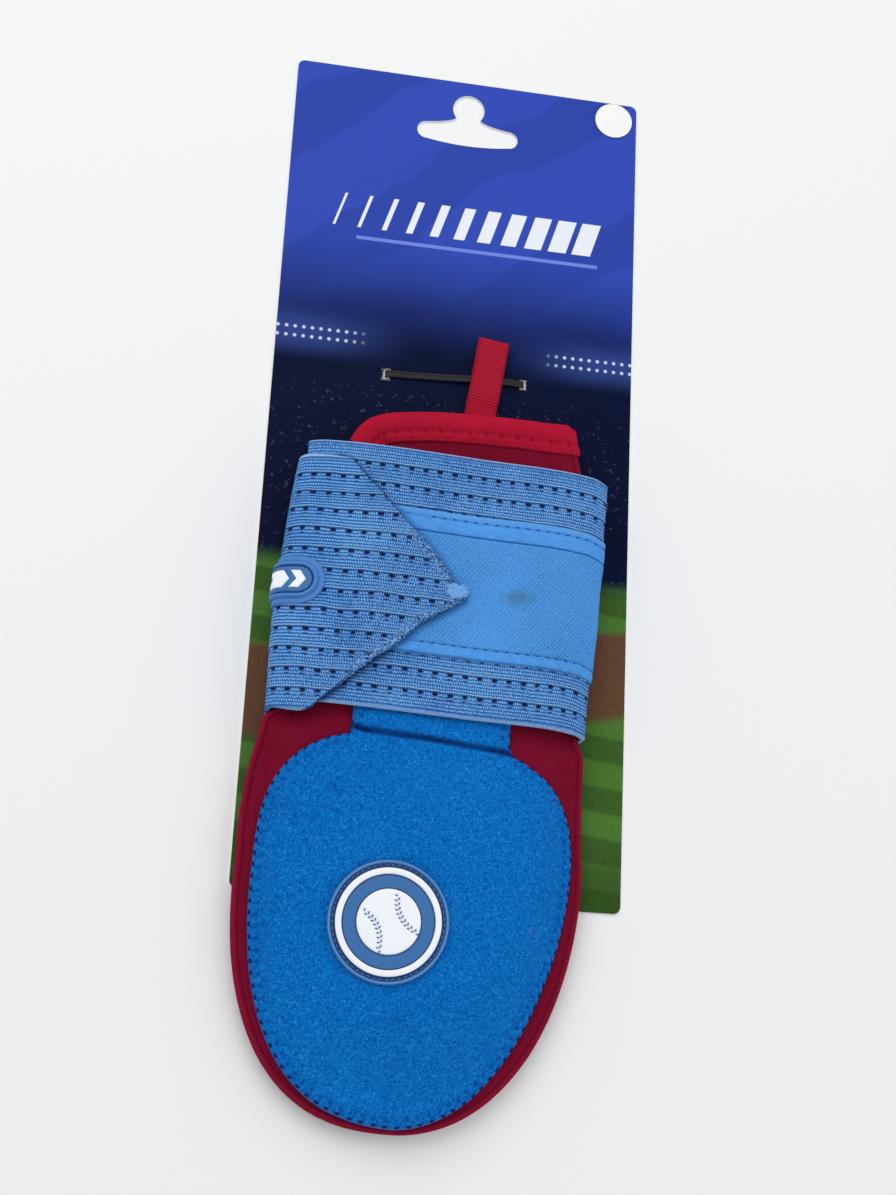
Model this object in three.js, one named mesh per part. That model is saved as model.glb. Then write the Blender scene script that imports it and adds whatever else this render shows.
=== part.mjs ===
// A youth sliding mitt for baseball and softball, lying on the plain hang card that it is tied to.
// Millimetres. X runs across the card, +Y towards its hang hole and +Z up from the table.
// The origin is the middle of the card's underside. The mitt has its own group, turned a little on the card.
import * as THREE from "three";

// Clearances between neighbours: sewn or laid pieces, and a crowned piece on a crowned piece
const GAP = 0.3;
const SEAT_GAP = 0.6;

// Hang card, its hang hole, its two tie slots and its sticker
const CARD_WIDTH = 127;
const CARD_HEIGHT = 300;
const CARD_THICK = 0.6;
const CARD_CORNER = 2.5;
const HOLE_WIDTH = 37.4;
const HOLE_END_RADIUS = 3.4;
const HOLE_FROM_TOP = 21.5;
const HOLE_BELLY = 1.3;
const HOLE_LOBE_RADIUS = 5.9;
const HOLE_LOBE_RISE = 10.3;
const SLOT_X = 24.3;
const SLOT_Y = 31.1;
const SLOT_TURN = THREE.MathUtils.degToRad(2.1);
const SLOT_LENGTH = 3.4;
const SLOT_WIDTH = 2;
const STICKER_DIAMETER = 14;
const STICKER_THICK = 0.3;
const STICKER_FROM_SIDE = 8.8;
const STICKER_FROM_TOP = 7.4;

// Tie through the slots and the pull loop, and where it climbs over the loop's lower leg
const TIE_WIDTH = 2.4;
const TIE_THICK = 0.7;
const TIE_CROSSING_X = 11;
const TIE_SIDE_ROOM = 1.5;
const TIE_CLIMB = 8;
const TIE_FLAT = 6;

// Pull loop of webbing: its upper leg leaves the lower one at the stem's end
const WEBBING_WIDTH = 11;
const WEBBING_THICK = 0.8;
const LOOP_LENGTH = 31.4;
const LOOP_STEM = 5;
const LOOP_PARTING = 5;
const LOOP_SEAM = 1.5;
const LOOP_HIDDEN = 9;
const LOOP_X = 5.45;
const LOOP_LEAN = THREE.MathUtils.degToRad(-4.8);

// Mitt: its place on the card, outline and walls
const MITT_X = 3.5;
const MITT_Y = 16;
const MITT_TURN = THREE.MathUtils.degToRad(-2.6);
const MITT_LENGTH = 239.7;
const MITT_TOP = 2;
const MITT_HALF_WIDTH = 55.25;
const MITT_MIDDLE = -3.35;
const MITT_WIDEST = 155;
const TIP_FULLNESS_LEFT = 2.44;
const TIP_FULLNESS_RIGHT = 2.13;
const BACK_THICK = 3;
const BACK_HEM_THICK = 2;
const FRONT_THICK = 2.4;
const FRONT_START = 30;
const EDGE_THICK = 2;
const SEAM_WIDTH = 6.5;
const SIDE_CURL = 1.6;
const WRIST_HOLLOW = 9.4;
const HAND_HOLLOW = 8.2;
const CROWN_FLATNESS = 5;

// Hem over the back panel's upper edge
const HEM_DEPTH = 10.2;
const HEM_THICK = 0.9;

// Wrist strap: one band wound one and a half times round the wrist
const STRAP_WIDTH = 89;
const STRAP_THICK = 1.3;
const STRAP_MIDDLE = -1.7;
const STRAP_HALF_WIDTH = 51.9;
const STRAP_FROM_TOP = 22.5;
const STRAP_EXIT = 13;
const STRAP_EXIT_START = 1;
const STRAP_SLANT = 6.8;
const STRAP_SIDE_Z = 9;
const STRAP_TIP_X = 0.5;
const POINT_LENGTH = 37;
const POINT_WIDTH = 5;
const TOP_ROUNDNESS = 2.8;
const BOTTOM_ROUNDNESS = 6;
const STRAP_START_TURN = 0.06;

// Loop patch on the strap's lower layer
const PATCH_HEIGHT = 48;
const PATCH_FROM_EDGE = 21;
const PATCH_THICK = 1.2;
const PATCH_LEFT_X = -24;
const PATCH_CLIMB = 11;
const PATCH_CLIMB_END = 2;
const PATCH_END_TURN = 1.06;

// Rubber grip near the strap's left side, and its raised mark
const GRIP_HEIGHT = 15;
const GRIP_RIGHT_X = -42;
const GRIP_MIDDLE_Y = -72.6;
const GRIP_THICK = 1.7;
const GRIP_WRAP = 0.04;
const MARK_WIDTH = 3;
const MARK_PITCH = 5;
const MARK_HEIGHT = 7;
const MARK_THICK = 0.5;
const MARK_START_X = -45.6;
const MARK_BEND = 2.4;

// Melted nub at the strap's point
const WELD_LENGTH = 8;
const WELD_WIDTH = 7;
const WELD_THICK = 0.6;

// Fleece shield and its neck
const SHIELD_HALF_WIDTH = 50;
const SHIELD_MIDDLE = -3.55;
const SHIELD_WIDEST = -158;
const SHIELD_TOP_LENGTH = 42;
const SHIELD_TIP_LENGTH = 78;
const SHIELD_THICK = 4.4;
const SHIELD_RIM_THICK = 1.3;
const SHIELD_RIM_WIDTH = 9;
const SHIELD_TOP_FULLNESS = 2.9;
const SHIELD_TIP_FULLNESS_LEFT = 2.43;
const SHIELD_TIP_FULLNESS_RIGHT = 1.9;
const NECK_LEFT = 23.4;
const NECK_RIGHT = 27.6;
const NECK_THICK = 1.8;
const NECK_LENGTH = 13;
const NECK_LAP = 1;

// Round badge on the shield
const BADGE_X = -10.35;
const BADGE_Y = -176;
const BADGE_DIAMETER = 38;
const BADGE_THICK = 1.5;
const RING_DIAMETER = 33;
const RING_WIDTH = 2;
const BALL_DIAMETER = 20;
const RELIEF_THICK = 0.6;

// Side outline from below the hem to the widest place: along as a share of the mitt's length,
// left and right as shares of its half width
const SIDE_STATIONS = [
  { along: 0.108, left: 0.681, right: 0.848 },
  { along: 0.26, left: 0.79, right: 0.878 },
  { along: 0.4, left: 0.85, right: 0.9 },
  { along: 0.485, left: 0.88, right: 0.92 },
  { along: 0.515, left: 0.94, right: 0.962 },
  { along: 0.56, left: 0.978, right: 0.981 },
  { along: 0.647, left: 1, right: 1 },
];

// Upper edge of the back panel: across as a share of the mitt's half width from its middle,
// below as a share of the mitt's length
const HEM_EDGE = [
  { across: -0.64, below: 0.0768 },
  { across: -0.52, below: 0.04 },
  { across: -0.354, below: 0.0196 },
  { across: -0.08, below: 0.0092 },
  { across: 0.4, below: 0.0018 },
  { across: 0.745, below: 0 },
];

// Heights of the front panel's crown along the mitt, as shares of the wrist's and the hand's hollow
const CROWN_STATIONS = [
  { along: 0, wrist: 1, hand: 0 },
  { along: 0.37, wrist: 1, hand: 0 },
  { along: 0.43, wrist: 0.5, hand: 0.15 },
  { along: 0.475, wrist: 0.4, hand: 0.26 },
  { along: 0.505, wrist: 0.28, hand: 0.5 },
  { along: 0.55, wrist: 0.12, hand: 0.86 },
  { along: 0.62, wrist: 0, hand: 1 },
  { along: 0.8, wrist: 0, hand: 0.86 },
  { along: 1, wrist: 0, hand: 0.5 },
];

const CARD_TOP = CARD_THICK + GAP;
const STRAP_BACK_Z = CARD_TOP + STRAP_THICK / 2;
const STEM_TOP = CARD_TOP + 2 * WEBBING_THICK;
const HEM_BASE = STEM_TOP + 2 * GAP + HEM_THICK;
const WRIST_BASE = CARD_TOP + STRAP_THICK + GAP;
const HAND_BASE = CARD_TOP + GAP;
const STRAP_TOP_Y = MITT_TOP - STRAP_FROM_TOP;
const STRAP_END_Y = STRAP_TOP_Y - STRAP_WIDTH;
const LAYER_RISE = STRAP_THICK + GAP;
const PATCH_RISE = PATCH_THICK + GAP;
const WRIST_CROWN = WRIST_BASE + BACK_THICK + WRIST_HOLLOW + FRONT_THICK;
const STRAP_TOP_Z = WRIST_CROWN + SEAT_GAP + STRAP_THICK / 2;
const NECK_END_Y = SHIELD_WIDEST + SHIELD_TOP_LENGTH + NECK_LENGTH;

const { clamp, lerp, smoothstep } = THREE.MathUtils;

// Smooth value of one column between a table's stations
function between(table, key, column, at) {
  const last = table.length - 1;
  const place = clamp(at, table[0][key], table[last][key]);
  let i = 0;
  while (i < last - 1 && place > table[i + 1][key]) {
    i += 1;
  }
  const slope = (a, b) => (table[b][column] - table[a][column]) / (table[b][key] - table[a][key]);
  const span = table[i + 1][key] - table[i][key];
  const share = (place - table[i][key]) / span;
  const start = slope(Math.max(i - 1, 0), i + 1) * span;
  const end = slope(i, Math.min(i + 2, last)) * span;
  const rise = table[i + 1][column] - table[i][column];
  const bend = share * (1 - share);
  const ease = share * share * (3 - 2 * share);
  return table[i][column] + rise * ease + bend * (start * (1 - share) - end * share);
}

// Evenly spaced numbers from first to last
function steps(first, last, count) {
  return Array.from({ length: count + 1 }, (_, i) => lerp(first, last, i / count));
}

// One closed body between an upper and a lower surface over a grid of across and along values.
// A wrapped grid joins its last column to its first. Rows that shrink to a point are allowed.
function closedSheet(across, along, upper, lower, wrapped = false) {
  const positions = [];
  const faces = [];
  const known = new Map();
  const vertex = (point) => {
    const key = point.toArray().map((value) => Math.round(value * 5000)).join(" ");
    if (!known.has(key)) {
      known.set(key, known.size);
      positions.push(point.x, point.y, point.z);
    }
    return known.get(key);
  };
  const triangle = (a, b, c) => {
    if (a !== b && b !== c && c !== a) {
      faces.push(a, b, c);
    }
  };
  const quad = (a, b, c, d) => {
    triangle(a, b, c);
    triangle(a, c, d);
  };
  const columns = wrapped ? across.length : across.length - 1;
  const top = along.map((v) => across.map((u) => vertex(upper(u, v))));
  const under = along.map((v) => across.map((u) => vertex(lower(u, v))));
  const lastRow = along.length - 1;
  for (let i = 0; i < columns; i += 1) {
    const k = (i + 1) % across.length;
    for (let j = 0; j < lastRow; j += 1) {
      quad(top[j][i], top[j + 1][i], top[j + 1][k], top[j][k]);
      quad(under[j][i], under[j][k], under[j + 1][k], under[j + 1][i]);
    }
    quad(top[0][i], top[0][k], under[0][k], under[0][i]);
    quad(top[lastRow][i], under[lastRow][i], under[lastRow][k], top[lastRow][k]);
  }
  if (!wrapped) {
    for (let j = 0; j < lastRow; j += 1) {
      quad(top[j][0], under[j][0], under[j + 1][0], top[j + 1][0]);
      quad(top[j][columns], top[j + 1][columns], under[j + 1][columns], under[j][columns]);
    }
  }
  return facedOut(positions, faces);
}

// Geometry of a closed body, turned so that its faces point out
function facedOut(positions, faces) {
  const point = (i) => new THREE.Vector3().fromArray(positions, i * 3);
  let volume = 0;
  for (let i = 0; i < faces.length; i += 3) {
    const [a, b, c] = faces.slice(i, i + 3).map(point);
    volume += a.dot(b.cross(c));
  }
  const geometry = new THREE.BufferGeometry();
  geometry.setAttribute("position", new THREE.Float32BufferAttribute(positions, 3));
  geometry.setIndex(volume < 0 ? faces.slice().reverse() : faces);
  geometry.computeVertexNormals();
  return geometry;
}

function piece(name, geometry, color, roughness) {
  const material = new THREE.MeshStandardMaterial({ color, roughness, metalness: 0 });
  const mesh = new THREE.Mesh(geometry, material);
  mesh.name = name;
  return mesh;
}

// Outline of the mitt: y of a place along it, and x of its left and right edge there
function placeAt(along) {
  return MITT_TOP - along * MITT_LENGTH;
}

function alongAt(y) {
  return (MITT_TOP - y) / MITT_LENGTH;
}

// How far a place lies from the widest line towards the tip, from 0 to 1
function tipShare(y) {
  return clamp((MITT_TOP - MITT_WIDEST - y) / (MITT_LENGTH - MITT_WIDEST), 0, 1);
}

function fullness(side) {
  return side < 0 ? TIP_FULLNESS_LEFT : TIP_FULLNESS_RIGHT;
}

function halfWidth(y, side) {
  const power = fullness(side);
  const sides = between(SIDE_STATIONS, "along", side < 0 ? "left" : "right", alongAt(y));
  return MITT_HALF_WIDTH * sides * (1 - tipShare(y) ** power) ** (1 / power);
}

// Distance from the mitt's middle line as a share: 0 on it and 1 on the outline
function rimShare(x, y) {
  const side = x - MITT_MIDDLE;
  const power = fullness(side);
  const widest = MITT_HALF_WIDTH * between(SIDE_STATIONS, "along", side < 0 ? "left" : "right", alongAt(y));
  return Math.min(((Math.abs(side) / widest) ** power + tipShare(y) ** power) ** (1 / power), 1);
}

// Shares, from 0 to 1, of how far a y has come past the hem and past the strap
function pastHem(y) {
  return smoothstep(-y, STRAP_FROM_TOP - MITT_TOP - HEM_DEPTH, STRAP_FROM_TOP - MITT_TOP);
}

function pastStrap(y) {
  const start = -STRAP_END_Y + STRAP_SLANT + STRAP_EXIT_START;
  return smoothstep(-y, start, start + STRAP_EXIT);
}

// Rise of the panels' rim over their middle: the strap curls the sides up
function rimRise(y) {
  return BACK_THICK - EDGE_THICK + SIDE_CURL * pastHem(y) * (1 - pastStrap(y));
}

// Height of the back panel's underside: over the loop at the hem, over the strap at the wrist
function backUnderside(x, y) {
  const base = lerp(lerp(HEM_BASE, WRIST_BASE, pastHem(y)), HAND_BASE, pastStrap(y));
  return base + rimRise(y) * smoothstep(rimShare(x, y), 0.7, 1);
}

function backThickness(x, y) {
  const body = lerp(BACK_HEM_THICK, BACK_THICK, pastHem(y));
  return body - (body - EDGE_THICK) * smoothstep(rimShare(x, y), 0.7, 1);
}

function backTopside(x, y) {
  return backUnderside(x, y) + backThickness(x, y);
}

// Height of the front panel's outer face, from its flat seam up to its crown
function frontTopside(x, y) {
  const along = alongAt(y);
  const wrist = between(CROWN_STATIONS, "along", "wrist", along);
  const hand = between(CROWN_STATIONS, "along", "hand", along);
  const hollow = wrist * WRIST_HOLLOW + hand * HAND_HOLLOW;
  const seam = 1 - SEAM_WIDTH / MITT_HALF_WIDTH;
  const inside = Math.min(rimShare(x, y) / seam, 1);
  const floor = backTopside(MITT_MIDDLE, y);
  const edge = backUnderside(MITT_MIDDLE, y) + rimRise(y) + 2 * EDGE_THICK + SEAT_GAP;
  const crown = floor + hollow + FRONT_THICK;
  return edge + (crown - edge) * (1 - inside ** CROWN_FLATNESS);
}

// Inner face of the front panel: below its outer face, measured square to it
function frontInside(x, y) {
  const small = 0.5;
  const slopeX = (frontTopside(x + small, y) - frontTopside(x - small, y)) / (2 * small);
  const slopeY = (frontTopside(x, y + small) - frontTopside(x, y - small)) / (2 * small);
  const seam = 1 - SEAM_WIDTH / MITT_HALF_WIDTH;
  const thick = lerp(FRONT_THICK, EDGE_THICK, smoothstep(rimShare(x, y), seam - 0.25, seam));
  const lengthOfNormal = Math.hypot(slopeX, slopeY, 1);
  const down = thick / lengthOfNormal;
  return new THREE.Vector3(x + slopeX * down, y + slopeY * down, frontTopside(x, y) - down);
}

// x in the mitt's plan at a share across (from -1, left, to 1) and a y
function planX(u, y) {
  return MITT_MIDDLE + u * halfWidth(y, u);
}

const hemEdge = new THREE.CatmullRomCurve3(
  HEM_EDGE.map(({ across, below }) => {
    return new THREE.Vector3(MITT_MIDDLE + across * MITT_HALF_WIDTH, MITT_TOP - below * MITT_LENGTH, 0);
  }),
);

// Point on the hem's line at a share from left to right, moved into the mitt by a distance
function insideHemEdge(share, distance) {
  const edge = hemEdge.getPoint(share);
  const tangent = hemEdge.getTangent(share);
  return new THREE.Vector2(edge.x + tangent.y * distance, edge.y - tangent.x * distance);
}

// Rows from a start to the tip, closer together where the tip rounds off
function rowsToTip(start, sideRows, tipRows) {
  const widest = MITT_TOP - MITT_WIDEST;
  const sides = steps(start, widest, sideRows).slice(0, -1);
  const tip = steps(0, Math.PI / 2, tipRows).map((a) => widest - Math.sin(a) * (MITT_LENGTH - MITT_WIDEST));
  return [...sides, ...tip];
}

// Shares across that are closer together near both edges
function crossShares(count) {
  return steps(-1, 1, count).map((u) => Math.sign(u) * (1 - (1 - Math.abs(u)) ** 1.35));
}

// The back panel's first rows blend from the hem's line to a straight row across, as a share down
function backPanel() {
  const straightY = placeAt(SIDE_STATIONS[0].along);
  const blendRows = steps(0, 1, 4).slice(0, -1).map((share) => ({ share, y: straightY }));
  const plainRows = rowsToTip(straightY, 12, 10).map((y) => ({ share: 1, y }));
  const inPlan = (u, { share, y }) => {
    const edge = insideHemEdge((u + 1) / 2, HEM_THICK + SEAT_GAP);
    return new THREE.Vector2(lerp(edge.x, planX(u, y), share), lerp(edge.y, y, share));
  };
  const rows = [...blendRows, ...plainRows];
  const face = (height) => (u, row) => {
    const { x, y } = inPlan(u, row);
    return new THREE.Vector3(x, y, height(x, y));
  };
  const geometry = closedSheet(crossShares(14), rows, face(backTopside), face(backUnderside));
  return piece("back_panel", geometry, 0x8c0f2e, 0.9);
}

function frontPanel() {
  const rows = rowsToTip(MITT_TOP - FRONT_START, 13, 12);
  const outer = (u, y) => new THREE.Vector3(planX(u, y), y, frontTopside(planX(u, y), y));
  const inner = (u, y) => {
    const point = frontInside(planX(u, y), y);
    point.y = y;
    return point;
  };
  return piece("front_panel", closedSheet(crossShares(20), rows, outer, inner), 0x8c0f2e, 0.9);
}

// U-shaped hem: under flap, round the edge and over flap
function cuffHem() {
  const flap = 0.42;
  const reach = (w) => HEM_DEPTH * clamp((Math.abs(w - 0.5) - (0.5 - flap)) / flap, 0, 1);
  const place = (u, w, out) => {
    const { x, y } = insideHemEdge(u, reach(w) + HEM_THICK - out);
    const side = clamp((w - 0.5) / (0.5 - flap), -1, 1);
    const low = backUnderside(x, y) - GAP;
    const high = backTopside(x, y) + GAP;
    return new THREE.Vector3(x, y, lerp(low - out, high + out, (side + 1) / 2));
  };
  const across = [0, 0.2, 0.42, 0.5 - 0.04, 0.5 + 0.04, 0.58, 0.8, 1];
  const along = steps(0, 1, 18);
  const geometry = closedSheet(
    across,
    along,
    (w, u) => place(u, w, HEM_THICK),
    (w, u) => place(u, w, 0),
  );
  return piece("cuff_hem", geometry, 0xb0142f, 0.85);
}

// Webbing loop: a stem sewn behind the hem, then two legs with a gap for the tie
function pullLoop() {
  const low = CARD_TOP;
  const inside = 2 * GAP + TIE_THICK;
  const high = low + 2 * WEBBING_THICK + inside;
  const round = (high - low) / 2;
  const spread = LOOP_STEM + LOOP_PARTING;
  const side = new THREE.Shape();
  side.moveTo(-LOOP_HIDDEN, low);
  side.lineTo(LOOP_LENGTH - round, low);
  side.absarc(LOOP_LENGTH - round, low + round, round, -Math.PI / 2, Math.PI / 2, false);
  side.lineTo(spread, high);
  side.lineTo(LOOP_STEM, STEM_TOP);
  side.lineTo(-LOOP_HIDDEN, STEM_TOP);
  const gap = new THREE.Path();
  const bend = inside / 2;
  gap.moveTo(LOOP_STEM + LOOP_SEAM, low + WEBBING_THICK);
  gap.lineTo(LOOP_LENGTH - round, low + WEBBING_THICK);
  gap.absarc(LOOP_LENGTH - round, low + round, bend, -Math.PI / 2, Math.PI / 2, false);
  gap.lineTo(spread, high - WEBBING_THICK);
  side.holes.push(gap);
  const geometry = new THREE.ExtrudeGeometry(side, {
    depth: WEBBING_WIDTH,
    bevelEnabled: false,
    curveSegments: 8,
  });
  geometry.translate(0, 0, -WEBBING_WIDTH / 2);
  geometry.rotateX(Math.PI / 2);
  geometry.rotateZ(Math.PI / 2);
  const mesh = piece("pull_loop", geometry, 0xb8142f, 0.8);
  mesh.position.set(LOOP_X, 0, 0);
  mesh.rotation.z = LOOP_LEAN;
  return mesh;
}

// Step along the winding and along the small pieces on it
const WINDING_STEP = 2.4;
const FINE_STEP = 1.5;

// The strap's winding in a section across the wrist. Turn is counted in half turns from the strap's
// start on the left, over the front to the right, under the wrist and over the front again.
function windingPoint(turn, rise) {
  const angle = Math.PI * (1 - turn);
  const topSide = Math.sin(angle) >= 0;
  const power = 2 / (topSide ? TOP_ROUNDNESS : BOTTOM_ROUNDNESS);
  const width = STRAP_HALF_WIDTH + rise;
  const height = topSide ? STRAP_TOP_Z - STRAP_SIDE_Z + rise : STRAP_SIDE_Z - STRAP_BACK_Z;
  const shape = (value) => Math.sign(value) * Math.abs(value) ** power;
  return new THREE.Vector2(
    STRAP_MIDDLE + width * shape(Math.cos(angle)),
    STRAP_SIDE_Z + height * shape(Math.sin(angle)),
  );
}

// Rise of the second layer over the first, and over the patch near the point
function layerRise(turn) {
  const second = LAYER_RISE * smoothstep(turn, 1.1, 1.9);
  const x = windingPoint(turn, LAYER_RISE).x;
  const climbEnd = PATCH_LEFT_X - PATCH_CLIMB_END;
  const overPatch = turn > 2 ? smoothstep(x, climbEnd - PATCH_CLIMB, climbEnd) : 0;
  return second + PATCH_RISE * overPatch;
}

// Even steps along the winding between two turns, each with its point, normal and turn
function windingSteps(firstTurn, lastTurn, spacing) {
  const fine = steps(firstTurn, lastTurn, 1200).map((turn) => {
    return { turn, point: windingPoint(turn, layerRise(turn)) };
  });
  const lengths = [0];
  for (let i = 1; i < fine.length; i += 1) {
    lengths.push(lengths[i - 1] + fine[i].point.distanceTo(fine[i - 1].point));
  }
  const total = lengths[lengths.length - 1];
  const count = Math.round(total / spacing);
  return steps(0, total, count).map((wanted) => {
    const i = clamp(lengths.findIndex((value) => value >= wanted - 1e-6), 1, fine.length - 2);
    const ahead = fine[i + 1].point.clone().sub(fine[i - 1].point).normalize();
    return { ...fine[i], normal: new THREE.Vector2(-ahead.y, ahead.x), gone: wanted, total };
  });
}

// Point at a height over the winding's middle surface
function overWinding({ point, normal }, height, y) {
  return new THREE.Vector3(point.x + normal.x * height, y, point.y + normal.y * height);
}

// Turn at which the winding, in its first or second layer, passes an x on the front
function turnAtX(x, second) {
  const [low, high] = second ? [2, 2.9] : [0.1, 1];
  const fine = steps(low, high, 900);
  return fine.find((turn) => windingPoint(turn, second ? layerRise(turn) : 0).x >= x);
}

function strapShift(turn) {
  return -STRAP_SLANT * smoothstep(turn, 1, 2);
}

function wristStrap() {
  const end = turnAtX(STRAP_TIP_X, true);
  const stations = windingSteps(STRAP_START_TURN, end, WINDING_STEP);
  const pointShare = ({ gone, total }) => clamp((total - gone) / POINT_LENGTH, 0, 1);
  const place = (share, station) => {
    const taper = pointShare(station);
    const width = lerp(POINT_WIDTH, STRAP_WIDTH, taper);
    const middle = STRAP_TOP_Y - STRAP_WIDTH / 2 + strapShift(station.turn);
    return middle + (0.5 - share) * width;
  };
  const geometry = closedSheet(
    steps(0, 1, 4),
    stations,
    (share, station) => overWinding(station, STRAP_THICK / 2, place(share, station)),
    (share, station) => overWinding(station, -STRAP_THICK / 2, place(share, station)),
  );
  return piece("wrist_strap", geometry, 0x5c9fe0, 0.9);
}

function loopPatch() {
  const stations = windingSteps(turnAtX(PATCH_LEFT_X, false), PATCH_END_TURN, WINDING_STEP);
  const base = STRAP_THICK / 2 + GAP;
  const yAt = (share) => STRAP_TOP_Y - PATCH_FROM_EDGE - share * PATCH_HEIGHT;
  const geometry = closedSheet(
    steps(0, 1, 4),
    stations,
    (share, station) => overWinding(station, base + PATCH_THICK, yAt(share)),
    (share, station) => overWinding(station, base, yAt(share)),
  );
  return piece("loop_patch", geometry, 0x4f97dc, 0.95);
}

// Grip: a flat tab with a round right end that bends over the strap's left side
function gripTab() {
  const stations = windingSteps(2 - GRIP_WRAP, turnAtX(GRIP_RIGHT_X, true), FINE_STEP);
  const base = STRAP_THICK / 2 + GAP;
  const radius = GRIP_HEIGHT / 2;
  const halfAt = ({ gone, total }) => {
    const fromEnd = Math.max(radius - (total - gone), 0);
    return Math.sqrt(Math.max(radius ** 2 - fromEnd ** 2, 0));
  };
  const place = (share, station) => GRIP_MIDDLE_Y + (0.5 - share) * 2 * halfAt(station);
  const geometry = closedSheet(
    steps(0, 1, 6),
    stations,
    (share, station) => overWinding(station, base + GRIP_THICK, place(share, station)),
    (share, station) => overWinding(station, base, place(share, station)),
  );
  return piece("grip_tab", geometry, 0x4a7fb5, 0.5);
}

// Raised chevron on the grip, following its bend
function gripMark(name, startX) {
  const stations = windingSteps(turnAtX(startX - MARK_WIDTH, true), turnAtX(startX, true), FINE_STEP);
  const base = STRAP_THICK / 2 + GAP + GRIP_THICK + SEAT_GAP;
  const shifted = (share, { turn }) => {
    const bend = MARK_BEND * (1 - Math.abs(2 * share - 1));
    const x = windingPoint(turn, layerRise(turn)).x + bend;
    const moved = turnAtX(x, true);
    return windingSteps(moved, moved + 0.02, 1)[0];
  };
  const yAt = (share) => GRIP_MIDDLE_Y + (0.5 - share) * MARK_HEIGHT;
  const geometry = closedSheet(
    [0, 0.5, 1],
    stations,
    (share, station) => overWinding(shifted(share, station), base + MARK_THICK, yAt(share)),
    (share, station) => overWinding(shifted(share, station), base, yAt(share)),
  );
  return piece(name, geometry, 0xf2f5f8, 0.5);
}

// Small melted plate on the strap's point
function tipWeld() {
  const end = turnAtX(STRAP_TIP_X, true);
  const stations = windingSteps(turnAtX(STRAP_TIP_X - WELD_LENGTH, true), end, FINE_STEP);
  const base = STRAP_THICK / 2 + GAP;
  const middle = STRAP_TOP_Y - STRAP_WIDTH / 2 - STRAP_SLANT;
  const width = ({ gone, total }) => WELD_WIDTH * Math.sqrt(1 - (2 * gone / total - 1) ** 2);
  const yAt = (share, station) => middle + (0.5 - share) * width(station);
  const geometry = closedSheet(
    steps(0, 1, 4),
    stations,
    (share, station) => overWinding(station, base + WELD_THICK, yAt(share, station)),
    (share, station) => overWinding(station, base, yAt(share, station)),
  );
  return piece("tip_weld", geometry, 0xc9dcf0, 0.5);
}

// Shield outline: half width of its oval on one side of its middle at a y
function shieldPower(y, side) {
  if (y > SHIELD_WIDEST) {
    return SHIELD_TOP_FULLNESS;
  }
  return side < 0 ? SHIELD_TIP_FULLNESS_LEFT : SHIELD_TIP_FULLNESS_RIGHT;
}

function shieldLengthShare(y) {
  const reach = y > SHIELD_WIDEST ? SHIELD_TOP_LENGTH : SHIELD_TIP_LENGTH;
  return clamp(Math.abs(y - SHIELD_WIDEST) / reach, 0, 1);
}

function shieldHalf(y, side) {
  const power = shieldPower(y, side);
  const oval = SHIELD_HALF_WIDTH * (1 - shieldLengthShare(y) ** power) ** (1 / power);
  const neck = y > SHIELD_WIDEST ? (side < 0 ? NECK_LEFT : NECK_RIGHT) : 0;
  return Math.max(oval, neck);
}

function shieldRim(x, y) {
  const side = x - SHIELD_MIDDLE;
  const power = shieldPower(y, side);
  const across = Math.abs(side) / SHIELD_HALF_WIDTH;
  const along = Math.abs(y - SHIELD_WIDEST) / (y > SHIELD_WIDEST ? SHIELD_TOP_LENGTH : SHIELD_TIP_LENGTH);
  return (across ** power + along ** power) ** (1 / power);
}

function shieldTopside(x, y) {
  const rimWidth = SHIELD_RIM_WIDTH / SHIELD_HALF_WIDTH;
  const pad = SHIELD_THICK - SHIELD_RIM_THICK;
  const inside = clamp((1 - shieldRim(x, y)) / rimWidth, 0, 1);
  const body = SHIELD_RIM_THICK + pad * Math.sqrt(1 - (1 - inside) ** 2);
  const neck = y > SHIELD_WIDEST + SHIELD_TOP_LENGTH - NECK_LAP ? NECK_THICK : 0;
  return frontTopside(x, y) + SEAT_GAP + Math.max(body, neck);
}

function handShield() {
  const topEnd = SHIELD_WIDEST + SHIELD_TOP_LENGTH;
  const arc = (from, to, count) => steps(from, to, count);
  const upper = arc(0, Math.PI / 2, 9).map((a) => SHIELD_WIDEST + Math.cos(a) * SHIELD_TOP_LENGTH);
  const lower = arc(0, Math.PI / 2, 12).map((a) => SHIELD_WIDEST - Math.sin(a) * SHIELD_TIP_LENGTH);
  const rows = [NECK_END_Y, (NECK_END_Y + topEnd) / 2, ...upper.slice(0, -1), ...lower];
  const xAt = (u, y) => SHIELD_MIDDLE + u * shieldHalf(y, u);
  const outer = (u, y) => new THREE.Vector3(xAt(u, y), y, shieldTopside(xAt(u, y), y));
  const inner = (u, y) => new THREE.Vector3(xAt(u, y), y, frontTopside(xAt(u, y), y) + SEAT_GAP);
  return piece("hand_shield", closedSheet(crossShares(18), rows, outer, inner), 0x1569bd, 0.95);
}

// Disc or ring that lies on a surface: its thickness stands on a base height over the shield
function badgeLayer(name, innerRadius, outerRadius, rings, base, thick, color) {
  const angles = steps(0, 2 * Math.PI, 40).slice(0, -1);
  const radii = steps(innerRadius, outerRadius, rings);
  const at = (height) => (angle, radius) => {
    const x = BADGE_X + radius * Math.cos(angle);
    const y = BADGE_Y + radius * Math.sin(angle);
    return new THREE.Vector3(x, y, shieldTopside(x, y) + height);
  };
  const geometry = closedSheet(angles, radii, at(base + thick), at(base), true);
  return piece(name, geometry, color, 0.45);
}

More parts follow.
